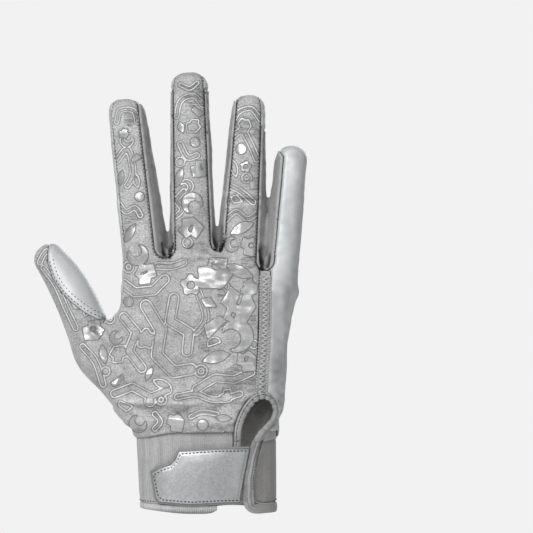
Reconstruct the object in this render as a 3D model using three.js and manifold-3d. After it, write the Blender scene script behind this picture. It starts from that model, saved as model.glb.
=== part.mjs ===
// A right-hand glove for catching a ball, open at the wrist and standing with its fingers up.
// Millimetres, +Z up. The back of the hand faces -Y, the palm +Y and the thumb -X.
// The origin is the middle of the wrist opening, level with the lowest edge of the hem.
import * as THREE from "three";
import { mergeVertices } from "three/addons/utils/BufferGeometryUtils.js";
import Module from "manifold-3d";

const wasm = await Module();
wasm.setup();

// Sizes of the hand part
const WRIST_SEAM_HEIGHT = 39.6;
const HAND_HEIGHT = 100;
const WRIST_WIDTH = 77.6;
const WRIST_DEPTH = 46;
const KNUCKLE_WIDTH = 93.6;
const KNUCKLE_DEPTH = 29;
const KNUCKLE_ARC = 0.0075;
const WEB_SLOPE = 0.42;
const WEB_ROUNDING = 4;
const CURL = 8;

// Sizes of the fingers: lengths run from the root line, inside the hand, to the fingertip
const ROOT_SHARE = 0.786;
const FINGER_DEPTH = 22;
const TIP_DEPTH = 17;
const TIP_ROUNDING = 9.5;
const ROOT_TAPER = 18;
const INDEX_LENGTH = 102.8;
const MIDDLE_LENGTH = 117.2;
const RING_LENGTH = 104.9;
const LITTLE_LENGTH = 77.3;
const THUMB_LENGTH = 99.5;
const THUMB_WIDTH = 27;
const THUMB_DEPTH = 24;

// Cloth, seams and trim
const WALL = 1.3;
const SEAM_GAP = 0.3;
const FIT_GAP = 0.3;
const PALM_WEB_RISE = 10.7;
const SEAM_TAPE_WIDTH = 5.4;
const CUFF_OVERLAP = 6;
const CUFF_FOOT_WIDTH = 72.4;
const HEM_HEIGHT = 5;
const HEM_PROUD = 0.5;
const KEYHOLE_TOP = 62.3;
const BINDING_WIDTH = 3.7;
const BINDING_THICKNESS = 2.8;
const HOOK_THICKNESS = 1.2;
const STRAP_THICKNESS = 1.2;
const STRAP_FACE_THICKNESS = 1;
const STRAP_BORDER = 1.1;

// Fineness of the facets
const HAND_SIDES = 30;
const FINGER_SIDES = 16;
const DOME_STEPS = [0, 0.5, 0.8, 0.96];
const SHEET_STEP = 20;
const FAR = 200;

// Each finger: where its root lies across the knuckles, its lean to the right in degrees,
// its widths, and how far its seams lie inside its left and right edges, at root and tip.
const FINGERS = [
  { name: "index", across: 0.17, lean: -7.7, length: INDEX_LENGTH, width: 27, tipWidth: 19.8,
    leftSeam: [1.4, 1.1], rightSeam: [8.4, 3.2] },
  { name: "middle", across: 0.418, lean: -1.4, length: MIDDLE_LENGTH, width: 26, tipWidth: 20,
    leftSeam: [3.0, 0.8], rightSeam: [2.6, 2.0] },
  { name: "ring", across: 0.68, lean: 2.5, length: RING_LENGTH, width: 29.6, tipWidth: 17.4,
    leftSeam: [4.2, 2.4], rightSeam: [6.4, 1.1] },
  { name: "little", across: 0.894, lean: 6, length: LITTLE_LENGTH, width: 20.8, tipWidth: 17,
    leftSeam: [7.2, 4.0], rightSeam: [0, 0] },
];
// The bottom of each web on the back, as a share of the hand's height
const WEB_BOTTOMS = [0.96, 0.998, 0.893];
const PALM_SEAM = 1.8;

// The hand from wrist to knuckles. up: share of the hand's height. widen: 0 is the wrist's width,
// 1 the knuckles'. shift: of the middle, as a share of half the knuckle width. back and palm: how
// far each face has thinned from the wrist's depth, 0, to the knuckles', 1. slope: share of the
// knuckle arc and web slope taken up.
const HAND_SECTIONS = [
  { up: 0, widen: 0, shift: -0.0235, back: 0.04, palm: 0.02, slope: 0 },
  { up: 0.045, widen: 0.1, shift: -0.034, back: -0.16, palm: 0, slope: 0 },
  { up: 0.094, widen: 0.36, shift: -0.085, back: -0.14, palm: 0.02, slope: 0 },
  { up: 0.15, widen: 0.84, shift: -0.113, back: 0.14, palm: 0.05, slope: 0 },
  { up: 0.2, widen: 0.9, shift: -0.11, back: 0.06, palm: 0.08, slope: 0 },
  { up: 0.36, widen: 0.96, shift: -0.096, back: 0.46, palm: 0.22, slope: 0 },
  { up: 0.52, widen: 1.2, shift: -0.122, back: 0.76, palm: 0.46, slope: 0 },
  { up: 0.615, widen: 1.37, shift: -0.118, back: 0.86, palm: 0.66, slope: 0.04 },
  { up: 0.64, widen: 1.25, shift: -0.092, back: 0.88, palm: 0.72, slope: 0.05 },
  { up: 0.68, widen: 1.05, shift: -0.042, back: 0.92, palm: 0.8, slope: 0.1 },
  { up: 0.73, widen: 0.99, shift: -0.02, back: 0.95, palm: 0.88, slope: 0.2 },
  { up: 0.86, widen: 1.084, shift: 0.006, back: 1.05, palm: 1.05, slope: 0.6 },
  { up: 0.95, widen: 1.12, shift: 0.012, back: 1.25, palm: 1.2, slope: 1 },
  { up: 0.99, widen: 1.02, shift: 0.014, back: 1.5, palm: 1.45, slope: 1 },
  { up: 1.03, widen: 1.0, shift: 0.014, back: 1.8, palm: 1.75, slope: 1 },
  { up: 1.06, widen: 0.98, shift: 0.014, back: 2.15, palm: 2.1, slope: 1 },
  { up: 1.075, widen: 0.96, shift: 0.014, back: 2.35, palm: 2.35, slope: 1 },
];
const HAND_SQUARENESS = 2.5;

// The thumb from its root, at the heel of the hand, to near its tip. left, up: its middle from the
// root, as shares of its length. forward: towards the palm, as a share of its depth. wide, deep:
// shares of its width and depth.
const THUMB_ROOT = { x: -0.876, up: 0.144 };
const THUMB_SECTIONS = [
  { left: -0.03, up: -0.07, forward: 0.08, wide: 0.3, deep: 0.6 },
  { left: 0, up: 0, forward: 0.1, wide: 0.5, deep: 0.85 },
  { left: 0.085, up: 0.161, forward: 0.14, wide: 0.78, deep: 1.08 },
  { left: 0.177, up: 0.307, forward: 0.24, wide: 1.0, deep: 1.14 },
  { left: 0.246, up: 0.452, forward: 0.36, wide: 0.87, deep: 1.02 },
  { left: 0.32, up: 0.613, forward: 0.46, wide: 0.82, deep: 0.92 },
  { left: 0.386, up: 0.727, forward: 0.54, wide: 0.75, deep: 0.84 },
  { left: 0.446, up: 0.806, forward: 0.61, wide: 0.65, deep: 0.74 },
];
const THUMB_TIP_ROUNDING = 9;
// Where the smooth leaf on the thumb's back starts, from tip to crotch, in the same shares
const LEAF_SEAM = [
  { left: 0.456, up: 0.9 },
  { left: 0.461, up: 0.796 },
  { left: 0.435, up: 0.711 },
  { left: 0.386, up: 0.635 },
  { left: 0.322, up: 0.576 },
  { left: 0.236, up: 0.517 },
  { left: 0.171, up: 0.489 },
  { left: 0.136, up: 0.497 },
];

// The rolled edge round the wrist slit, from the hem behind the strap, up over the keyhole and down
// to the hem again. across: share of half the wrist width. up: share of the keyhole's height.
// wide: share of the binding's width. lift: of its middle above the cloth. thick: share of its thickness.
const BINDING_PATH = [
  { across: 0.29, up: 0.09, wide: 1.0, lift: -0.5, thick: 0.8 },
  { across: 0.33, up: 0.24, wide: 1.0, lift: -0.5, thick: 0.8 },
  { across: 0.373, up: 0.438, wide: 1.0, lift: -0.5, thick: 0.8 },
  { across: 0.405, up: 0.6, wide: 1.0, lift: -0.3, thick: 0.9 },
  { across: 0.41, up: 0.695, wide: 1.0, lift: 0, thick: 1 },
  { across: 0.439, up: 0.782, wide: 1.0, lift: 0, thick: 1 },
  { across: 0.494, up: 0.86, wide: 1.0, lift: 0, thick: 1 },
  { across: 0.564, up: 0.928, wide: 1.0, lift: 0, thick: 1 },
  { across: 0.647, up: 0.979, wide: 0.95, lift: 0, thick: 1 },
  { across: 0.743, up: 1.0, wide: 0.9, lift: 0, thick: 1 },
  { across: 0.834, up: 0.984, wide: 0.85, lift: 0, thick: 1 },
  { across: 0.9, up: 0.936, wide: 0.8, lift: 0, thick: 1 },
  { across: 0.925, up: 0.87, wide: 0.8, lift: 0, thick: 1 },
  { across: 0.895, up: 0.8, wide: 0.85, lift: 0.2, thick: 1 },
  { across: 0.813, up: 0.734, wide: 1.0, lift: 0.6, thick: 1.1 },
  { across: 0.722, up: 0.67, wide: 1.15, lift: 1.1, thick: 1.2 },
  { across: 0.66, up: 0.592, wide: 1.3, lift: 1.5, thick: 1.5 },
  { across: 0.61, up: 0.498, wide: 1.45, lift: 1.7, thick: 1.7 },
  { across: 0.577, up: 0.387, wide: 1.6, lift: 1.7, thick: 1.7 },
  { across: 0.55, up: 0.266, wide: 1.7, lift: 1.7, thick: 1.7 },
  { across: 0.55, up: 0.164, wide: 1.7, lift: 1.6, thick: 1.6 },
  { across: 0.565, up: 0.092, wide: 1.6, lift: 1.3, thick: 1.4 },
];
const BINDING_SIDES = 8;

// The strap's outline from its lower right corner round to its upper right, where it meets the
// binding. across: share of half the wrist width. up: share of the wrist seam's height.
const STRAP_OUTLINE = [
  { across: 0.229, up: 0.158 },
  { across: -0.257, up: 0.137 },
  { across: -0.66, up: 0.165 },
  { across: -0.715, up: 0.235 },
  { across: -0.77, up: 0.55 },
  { across: -0.67, up: 0.61 },
  { across: -0.506, up: 0.662 },
  { across: -0.452, up: 0.717 },
  { across: -0.395, up: 0.84 },
  { across: -0.117, up: 0.86 },
  { across: 0.229, up: 0.88 },
];
const HOOK_PATCH = { left: -0.6, right: 0.1, low: 0.25, high: 0.55 };
// The fabric patch at the thumb's crotch, on the palm side: shares of half the knuckle width left
// of the centre, and of the hand's height
const PATCH_OUTLINE = [
  { x: 1.12, z: 0.65 },
  { x: 1.0, z: 0.735 },
  { x: 0.84, z: 0.7 },
  { x: 0.8, z: 0.62 },
  { x: 0.92, z: 0.585 },
  { x: 1.09, z: 0.585 },
];

const lerp = (a, b, t) => a + (b - a) * t;
const halfKnuckles = KNUCKLE_WIDTH / 2;
const halfWrist = WRIST_WIDTH / 2;
const rootHeight = WRIST_SEAM_HEIGHT + ROOT_SHARE * HAND_HEIGHT;
const handZ = (share) => WRIST_SEAM_HEIGHT + share * HAND_HEIGHT;

// Solids from rings

// A closed solid from rings of equally many points, each anticlockwise seen from the last. Its end
// caps run in strips from front to back, so that an end may be arched.
function solidFromRings(rings) {
  const sides = rings[0].length;
  const positions = rings.flat().flatMap((p) => [p.x, p.y, p.z]);
  const index = [];
  for (let r = 0; r + 1 < rings.length; r++) {
    for (let k = 0; k < sides; k++) {
      const a = r * sides + k;
      const b = r * sides + ((k + 1) % sides);
      index.push(a, b, b + sides, a, b + sides, a + sides);
    }
  }
  const last = (rings.length - 1) * sides;
  for (let k = 0; k < sides / 2; k++) {
    const [a, b, c, d] = [k, k + 1, sides - k - 1, (sides - k) % sides];
    if (b !== c) index.push(a, c, b, last + a, last + b, last + c);
    if (a !== d) index.push(a, d, c, last + a, last + c, last + d);
  }
  const geometry = new THREE.BufferGeometry();
  geometry.setAttribute("position", new THREE.Float32BufferAttribute(positions, 3));
  geometry.setIndex(index);
  return solidFromGeometry(geometry);
}

function solidFromGeometry(geometry) {
  const bare = new THREE.BufferGeometry();
  bare.setAttribute("position", geometry.getAttribute("position"));
  bare.setIndex(geometry.getIndex());
  const merged = mergeVertices(bare, 1e-4);
  return new wasm.Manifold(
    new wasm.Mesh({
      numProp: 3,
      vertProperties: new Float32Array(merged.attributes.position.array),
      triVerts: new Uint32Array(merged.index.array),
    }),
  );
}

// A solid whose outline, in x and z, is swept from y = near to y = far
function prism(outline, near, far) {
  const shape = new THREE.Shape(outline.map(([x, z]) => new THREE.Vector2(x, z)));
  const geometry = new THREE.ExtrudeGeometry(shape, { depth: far - near, bevelEnabled: false });
  geometry.rotateX(Math.PI / 2);
  geometry.translate(0, far, 0);
  return solidFromGeometry(geometry);
}

// Everything in front of (towards -Y) or behind a sheet whose place in y follows the height z
function frontOf(sheet, side) {
  const rows = [];
  for (let z = -FAR / 2; z <= 1.6 * FAR; z += SHEET_STEP) rows.push(new THREE.Vector2(sheet(z), z));
  const edge = side < 0 ? -FAR : FAR;
  const shape = new THREE.Shape([
    ...rows,
    new THREE.Vector2(edge, rows[rows.length - 1].y),
    new THREE.Vector2(edge, rows[0].y),
  ]);
  const geometry = new THREE.ExtrudeGeometry(shape, { depth: 2 * FAR, bevelEnabled: false });
  // The shape's x is the part's y and its y is the part's z, so the depth runs along the part's x.
  geometry.applyMatrix4(new THREE.Matrix4().set(0, 0, 1, -FAR, 1, 0, 0, 0, 0, 1, 0, 0, 0, 0, 0, 1));
  return solidFromGeometry(geometry);
}

const union = (solids) => solids.reduce((sum, next) => sum.add(next));

// A rounded-square ring: half width a, half depth back (towards -Y) and palm (towards +Y)
function ringPoint(turn, squareness) {
  const c = Math.cos(turn);
  const s = Math.sin(turn);
  return {
    c: Math.sign(c) * Math.abs(c) ** (2 / squareness),
    s: Math.sign(s) * Math.abs(s) ** (2 / squareness),
  };
}

// The hand's rings

// The hand's section at one row of the table
function handSection(row) {
  const halfWidth = lerp(halfWrist, halfKnuckles, row.widen);
  const thinning = (share) => lerp(WRIST_DEPTH / 2, KNUCKLE_DEPTH / 2, share);
  return {
    z: handZ(row.up),
    centre: row.shift * halfKnuckles,
    halfWidth,
    back: thinning(row.back),
    palm: thinning(row.palm),
    slope: row.slope,
  };
}

// The hand's section at any height, between two rows of the table
function handAt(z) {
  const rows = HAND_SECTIONS.map(handSection);
  const above = Math.max(1, rows.findIndex((row) => row.z >= z));
  const [low, high] = [rows[above - 1], rows[above]];
  const t = THREE.MathUtils.clamp((z - low.z) / (high.z - low.z), 0, 1);
  return Object.fromEntries(Object.keys(low).map((key) => [key, lerp(low[key], high[key], t)]));
}

function handRing(section, inset) {
  const points = [];
  for (let k = 0; k < HAND_SIDES; k++) {
    const { c, s } = ringPoint((2 * Math.PI * k) / HAND_SIDES, HAND_SQUARENESS);
    const x = section.centre + c * (section.halfWidth - inset);
    const y = s * Math.max(1, (s < 0 ? section.back : section.palm) - inset);
    const rise = section.slope * (WEB_SLOPE * y - KNUCKLE_ARC * x * x);
    points.push(new THREE.Vector3(x, y, section.z + rise - section.slope * inset));
  }
  return points;
}

function handSolid(inset) {
  const rings = HAND_SECTIONS.map((row) => handRing(handSection(row), inset));
  if (inset > 0) rings[0].forEach((p) => (p.z -= inset));
  return solidFromRings(rings);
}

// The fingers' rings

const fingerX = (finger) => -halfKnuckles + finger.across * KNUCKLE_WIDTH;
const fingerTop = (finger) => rootHeight + finger.length;
const curlAt = (z) => CURL * (Math.max(0, z - rootHeight) / MIDDLE_LENGTH) ** 2;

// A finger's middle and half width at a height, with no rounding at the tip
function fingerAt(finger, z) {
  const along = (z - rootHeight) / finger.length;
  return {
    x: fingerX(finger) + Math.tan(THREE.MathUtils.degToRad(finger.lean)) * (z - rootHeight),
    halfWidth: lerp(finger.width, finger.tipWidth, along) / 2,
    halfDepth: lerp(FINGER_DEPTH, TIP_DEPTH, along) / 2,
    along,
  };
}

function fingerSolid(finger, inset) {
  const top = fingerTop(finger) - inset;
  const domeFoot = fingerTop(finger) - TIP_ROUNDING;
  const rows = [
    { z: rootHeight - ROOT_TAPER - inset, size: 0.8 },
    ...[0, 0.3, 0.6].map((share) => ({ z: lerp(rootHeight, domeFoot, share), size: 1 })),
  ];
  for (const share of DOME_STEPS) {
    rows.push({ z: lerp(domeFoot, top, share), size: (1 - share ** 2.5) ** 0.4 });
  }
  const rings = rows.map(({ z, size }) => {
    const at = fingerAt(finger, z);
    const ring = [];
    for (let k = 0; k < FINGER_SIDES; k++) {
      const { c, s } = ringPoint((2 * Math.PI * k) / FINGER_SIDES, 2.2);
      ring.push(
        new THREE.Vector3(
          at.x + c * (at.halfWidth - inset) * size,
          curlAt(z) + s * (at.halfDepth - inset) * size,
          z,
        ),
      );
    }
    return ring;
  });
  return solidFromRings(rings);
}

// The thumb's rings

// A place on the thumb given in shares of its length and depth
const thumbPoint = (row) =>
  new THREE.Vector3(
    THUMB_ROOT.x * halfKnuckles - row.left * THUMB_LENGTH,
    (row.forward ?? 0) * THUMB_DEPTH,
    handZ(THUMB_ROOT.up) + row.up * THUMB_LENGTH,
  );

function thumbSolid(inset) {
  const middles = THUMB_SECTIONS.map(thumbPoint);
  const rings = [];
  const ringAt = (middle, tangent, halfWidth, halfDepth) => {
    const across = new THREE.Vector3(tangent.z, 0, -tangent.x).normalize();
    const forward = new THREE.Vector3().crossVectors(tangent, across).normalize();
    const ring = [];
    for (let k = 0; k < FINGER_SIDES; k++) {
      const { c, s } = ringPoint((2 * Math.PI * k) / FINGER_SIDES, 2.1);
      ring.push(
        middle.clone().addScaledVector(across, c * halfWidth).addScaledVector(forward, s * halfDepth),
      );
    }
    return ring;
  };
  THUMB_SECTIONS.forEach((row, i) => {
    const before = middles[Math.max(0, i - 1)];
    const after = middles[Math.min(middles.length - 1, i + 1)];
    const tangent = after.clone().sub(before).normalize();
    rings.push(
      ringAt(
        middles[i],
        tangent,
        (row.wide * THUMB_WIDTH) / 2 - inset,
        (row.deep * THUMB_DEPTH) / 2 - inset,
      ),
    );
  });
  const last = THUMB_SECTIONS[THUMB_SECTIONS.length - 1];
  const end = middles[middles.length - 1];
  const tangent = end.clone().sub(middles[middles.length - 2]).normalize();
  for (const share of DOME_STEPS.slice(1)) {
    const size = (1 - share ** 2.2) ** 0.45;
    rings.push(
      ringAt(
        end.clone().addScaledVector(tangent, share * (THUMB_TIP_ROUNDING - inset)),
        tangent,
        size * ((last.wide * THUMB_WIDTH) / 2 - inset),
        size * ((last.deep * THUMB_DEPTH) / 2 - inset),
      ),
    );
  }
  return solidFromRings(rings);
}

const handForm = (inset) =>
  union([handSolid(inset), thumbSolid(inset), ...FINGERS.map((f) => fingerSolid(f, inset))]);

// The cuff's rings: its top tucks inside the hand part, its foot is the hem

const cuffTop = WRIST_SEAM_HEIGHT + CUFF_OVERLAP;

// The cuff's outer section at a height
function cuffAt(z) {
  const seam = handAt(WRIST_SEAM_HEIGHT);
  const t = THREE.MathUtils.clamp(z / WRIST_SEAM_HEIGHT, 0, 1);
  const tuck = WALL + FIT_GAP;
  return {
    centre: lerp(0, seam.centre, t),
    halfWidth: lerp(CUFF_FOOT_WIDTH / 2, seam.halfWidth - tuck, t),
    back: seam.back - tuck,
    palm: seam.palm - tuck,
    slope: 0,
    z,
  };
}

const cuffSolid = (inset, low, high) =>
  solidFromRings([low, lerp(low, high, 0.5), high].map((z) => handRing(cuffAt(z), inset)));

// The y of the cloth's outer face on the back, at a place across and up
function backFaceY(x, z) {
  const section = z > WRIST_SEAM_HEIGHT ? handAt(z) : cuffAt(z);
  const reach = Math.min(0.985, Math.abs((x - section.centre) / section.halfWidth));
  return -section.back * (1 - reach ** HAND_SQUARENESS) ** (1 / HAND_SQUARENESS);
}

// Seam outlines in x and z

const seamX = (finger, side, z, seams, grow) => {
  const at = fingerAt(finger, z);
  const inset = lerp(seams[0], seams[1], THREE.MathUtils.clamp(at.along, 0, 1));
  return at.x + side * (at.halfWidth - inset + grow);
};

// The rounded foot of a web between two fingers' seams, from left to right
function webRound(a, b, web, grow, aSeam = a.rightSeam, bSeam = b.leftSeam) {
  const foot = web + WEB_ROUNDING;
  const from = seamX(a, 1, foot, aSeam, grow);
  const to = seamX(b, -1, foot, bSeam, grow);
  return [0, 0.15, 0.4, 0.6, 0.85, 1].map((share) => {
    const drop = (WEB_ROUNDING - grow) * Math.sin(Math.PI * share) ** 0.6;
    return [lerp(from, to, share), foot - (share % 1 === 0 ? 0 : drop)];
  });
}

// The outline over some fingers: up each left seam, round the tip, down the right and round the web
function fingersOutline(fingers, leftSeams, rightSeams, webs, tipInset, grow) {
  const outline = [];
  fingers.forEach((finger, i) => {
    const foot = fingerTop(finger) - TIP_ROUNDING;
    const left = (z) => seamX(finger, -1, z, leftSeams(finger), grow);
    const right = (z) => seamX(finger, 1, z, rightSeams(finger), grow);
    const start = i === 0 ? rootHeight : webs[i - 1] + WEB_ROUNDING + 1;
    outline.push([left(start), start], [left(foot), foot]);
    const [l, r] = [left(foot), right(foot)];
    for (const turn of [145, 115, 90, 65, 35]) {
      const a = THREE.MathUtils.degToRad(turn);
      const c = Math.sign(Math.cos(a)) * Math.abs(Math.cos(a)) ** 0.8;
      const rise = Math.sin(a) ** 0.8 * (TIP_ROUNDING - tipInset + grow);
      outline.push([lerp(l, r, 0.5) + (c * (r - l)) / 2, foot + rise]);
    }
    outline.push([right(foot), foot]);
    const web = webs[i];
    if (web === undefined) return;
    const next = FINGERS[FINGERS.indexOf(finger) + 1];
    outline.push(...webRound(finger, next, web, grow, rightSeams(finger), leftSeams(next)));
  });
  return outline;
}

const webBottoms = WEB_BOTTOMS.map(handZ);
const seamTapeX = (z) => lerp(25.2, 27.6, THREE.MathUtils.clamp((z - 60) / 40, 0, 1)) / 46.8 * halfKnuckles;

function tapeOutline(grow) {
  const low = KEYHOLE_TOP - 4;
  const heights = [low, lerp(low, webBottoms[2], 0.4), webBottoms[2] - SEAM_GAP];
  const left = heights.map((z) => [seamTapeX(z) - grow, z]);
  const right = heights.map((z) => [seamTapeX(z) + SEAM_TAPE_WIDTH + grow, z]).reverse();
  left[left.length - 1][1] += grow;
  right[0][1] += grow;
  return [...left, ...right];
}

// The zone of the fabric back: three fingers and the back of the hand, up to the taped seam
function backOutline(grow) {
  const fabricFingers = FINGERS.slice(0, 3);
  const outline = fingersOutline(
    fabricFingers,
    (f) => f.leftSeam,
    (f) => f.rightSeam,
    webBottoms,
    0.8,
    grow,
  );
  const tape = seamTapeX(webBottoms[2]) - SEAM_GAP + grow;
  const kept = outline.filter(([x], i) => i < outline.length - 6 || x < tape - 0.1);
  return [
    ...kept,
    [tape, webBottoms[2] + 1],
    [seamTapeX(80) - SEAM_GAP + grow, 80],
    [seamTapeX(50) - SEAM_GAP + grow, 50],
    [seamTapeX(50) - SEAM_GAP + grow, WRIST_SEAM_HEIGHT - 5],
    [-1.25 * halfKnuckles, WRIST_SEAM_HEIGHT - 5],
    [-1.25 * halfKnuckles, handZ(0.6)],
    [-1.19 * halfKnuckles - grow, handZ(0.63)],
    [-1.1 * halfKnuckles - grow, handZ(0.66) + grow],
    [-0.985 * halfKnuckles - grow, handZ(0.72)],
  ];
}

// The zone of the fabric on the thumb's outer side, left of the leaf's seam
function thumbOutline(grow) {
  const seam = LEAF_SEAM.map((row) => {
    const p = thumbPoint(row);
    return [p.x + grow, p.z + grow];
  });
  return [
    ...seam,
    [-1.22 * halfKnuckles + grow, handZ(0.6)],
    [-halfKnuckles + grow, handZ(0.35)],
    [-halfKnuckles + grow, handZ(-0.05)],
    [-FAR, handZ(-0.05)],
    [-FAR, handZ(1.5)],
    [seam[0][0], handZ(1.5)],
  ];
}

const thumbSeamY = (z) => 9 + 0.11 * (z - 60);

const backZone = (grow) =>
  union([
    prism(backOutline(grow), -FAR, FAR).intersect(frontOf((z) => curlAt(z) + grow, -1)),
    prism(thumbOutline(grow), -FAR, FAR).intersect(frontOf((z) => thumbSeamY(z) + grow, -1)),
  ]);

// The zone of the four finger fronts and the palm, behind the middle sheet
function palmZone(grow) {
  const rises = webBottoms.map((z) => z + PALM_WEB_RISE);
  const outline = fingersOutline(
    FINGERS,
    (f) => (f.name === "index" ? [-9, -9] : [PALM_SEAM, PALM_SEAM]),
    (f) => (f.name === "little" ? [-9, -9] : [PALM_SEAM, PALM_SEAM]),
    rises,
    -3,
    grow,
  );
  const edge = 1.3 * halfKnuckles;
  return prism([...outline, [edge, rootHeight], [edge, 0], [-edge, 0]], -FAR, FAR).intersect(
    frontOf((z) => curlAt(z) - grow, 1),
  );
}

// The zone between two neighbouring fingers that a side strip fills
function stripZone(left, shrink) {
  const [a, b] = [FINGERS[left], FINGERS[left + 1]];
  const web = webBottoms[left];
  const foot = web + WEB_ROUNDING;
  const topA = fingerTop(a) - 6 - shrink;
  const topB = fingerTop(b) - 6 - shrink;
  const endsAtSeam = b.name === "little";
  const rightEdge = (z) =>
    endsAtSeam ? seamX(b, -1, z, b.leftSeam, 0) - shrink : fingerAt(b, z).x;
  return prism(
    [
      [fingerAt(a, topA).x, topA],
      [fingerAt(a, foot).x, foot],
      ...webRound(a, b, web, shrink),
      [rightEdge(foot), foot],
      [rightEdge(topB), topB],
    ],
    -FAR,
    FAR,
  );
}

// The binding round the slit and the opening that it edges

const bindingPoint = (row) => ({ x: row.across * halfWrist, z: row.up * KEYHOLE_TOP });

// The way the binding runs at a row, in x and z
function bindingRun(i) {
  const before = bindingPoint(BINDING_PATH[Math.max(0, i - 1)]);
  const after = bindingPoint(BINDING_PATH[Math.min(BINDING_PATH.length - 1, i + 1)]);
  return new THREE.Vector2(after.x - before.x, after.z - before.z).normalize();
}

// The slit's outline: the binding's outer edge, closed far below the hem
function slitOutline(grow) {
  const edge = BINDING_PATH.map((row, i) => {
    const run = bindingRun(i);
    const p = bindingPoint(row);
    const reach = (row.wide * BINDING_WIDTH) / 2 + grow;
    return [p.x - run.y * reach, p.z + run.x * reach];
  });
  return [[edge[0][0], -10], ...edge, [edge[edge.length - 1][0], -10]];
}

function bindingSolid(grow) {
  const middles = BINDING_PATH.map((row) => {
    const { x, z } = bindingPoint(row);
    return new THREE.Vector3(x, backFaceY(x, z) - row.lift, z);
  });
  const rings = middles.map((middle, i) => {
    const row = BINDING_PATH[i];
    const tangent = middles[Math.min(middles.length - 1, i + 1)]
      .clone()
      .sub(middles[Math.max(0, i - 1)])
      .normalize();
    const step = 1.5;
    const slopeX = (backFaceY(middle.x + step, middle.z) - backFaceY(middle.x - step, middle.z)) / (2 * step);
    const outward = new THREE.Vector3(slopeX, -1, 0);
    outward.addScaledVector(tangent, -outward.dot(tangent)).normalize();
    const across = new THREE.Vector3().crossVectors(outward, tangent).normalize();
    const ring = [];
    for (let k = 0; k < BINDING_SIDES; k++) {
      const { c, s } = ringPoint((2 * Math.PI * (k + 0.5)) / BINDING_SIDES, 2.3);
      ring.push(
        middle
          .clone()
          .addScaledVector(across, c * ((row.wide * BINDING_WIDTH) / 2 + grow))
          .addScaledVector(outward, s * ((row.thick * BINDING_THICKNESS) / 2 + grow)),
      );
    }
    return ring;
  });
  return solidFromRings(rings);
}

// The strap's zone, grown past its stitched face for the base below it
function strapOutline(grow) {
  const rows = STRAP_OUTLINE.map((row) => new THREE.Vector2(row.across * halfWrist, row.up * WRIST_SEAM_HEIGHT));
  const centre = new THREE.Vector2(-0.15 * halfWrist, 0.5 * WRIST_SEAM_HEIGHT);
  const outer = rows.map((p) => {
    const away = p.clone().sub(centre);
    return [p.x + Math.sign(away.x) * grow * (p.x < centre.x ? 1 : 0), p.y + Math.sign(away.y) * grow];
  });
  const rightLeg = [];
  BINDING_PATH.forEach((row, i) => {
    const p = bindingPoint(row);
    const reach = (row.wide * BINDING_WIDTH) / 2 + SEAM_GAP;
    const run = bindingRun(i);
    if (run.y < -0.5 && row.up < 0.62) rightLeg.push([p.x + run.y * reach, p.z - run.x * reach]);
  });
  const top = outer[outer.length - 1][1];
  const foot = outer[0][1];
  const inside = rightLeg.filter(([, z]) => z < top - 1 && z > foot + 1);
  const legX = (z) => {
    const above = rightLeg.findIndex(([, height]) => height < z);
    const i = Math.max(1, above < 0 ? rightLeg.length - 1 : above);
    const [a, b] = [rightLeg[i - 1], rightLeg[i]];
    return lerp(a[0], b[0], (z - a[1]) / (b[1] - a[1]));
  };
  return [...outer, [legX(top), top], ...inside, [legX(foot), foot]];
}

// Assembly

const outerForm = handForm(0);
const shell = outerForm.subtract(handForm(WALL));
const slit = prism(slitOutline(SEAM_GAP), -FAR, 0).add(bindingSolid(SEAM_GAP));
const openShell = shell.subtract(slit);

// The seams leave scraps inside the webs: only the panel itself is kept
const mainBody = (solid) =>
  solid.decompose().reduce((best, body) => (body.volume() > best.volume() ? body : best));

const backPanel = mainBody(openShell.intersect(backZone(0)));
const stripsZone = union([0, 1, 2].map((i) => stripZone(i, 0))).subtract(palmZone(0));
const strips = [0, 1, 2].map((i) =>
  mainBody(
    openShell.intersect(stripZone(i, SEAM_GAP)).subtract(backZone(SEAM_GAP)).subtract(palmZone(SEAM_GAP)),
  ),
);
const tapeZone = (grow) => prism(tapeOutline(grow), -FAR, 0);
const seamTape = openShell.intersect(tapeZone(0));
const patchZone = (grow) => {
  const middle = new THREE.Vector2(-halfKnuckles, handZ(0.65));
  const outline = PATCH_OUTLINE.map((row) => {
    const p = new THREE.Vector2(-row.x * halfKnuckles, handZ(row.z));
    const away = p.clone().sub(middle).normalize();
    return [p.x + away.x * 1.4 * grow, p.y + away.y * 1.4 * grow];
  });
  return prism(outline, 0, FAR);
};
const webPatch = mainBody(openShell.intersect(patchZone(0)).subtract(backZone(SEAM_GAP)));
const palmPanel = mainBody(
  openShell
    .subtract(backZone(SEAM_GAP))
    .subtract(stripsZone)
    .subtract(tapeZone(SEAM_GAP))
    .subtract(patchZone(SEAM_GAP)),
);

const cuffBand = cuffSolid(0, HEM_HEIGHT + SEAM_GAP, cuffTop)
  .subtract(cuffSolid(WALL, HEM_HEIGHT - 1, cuffTop + 1))
  .subtract(slit);
const cuffHem = cuffSolid(-HEM_PROUD, 0, HEM_HEIGHT)
  .subtract(cuffSolid(WALL + HEM_PROUD, -1, HEM_HEIGHT + 1))
  .subtract(slit);
const slitBinding = bindingSolid(0);

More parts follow.
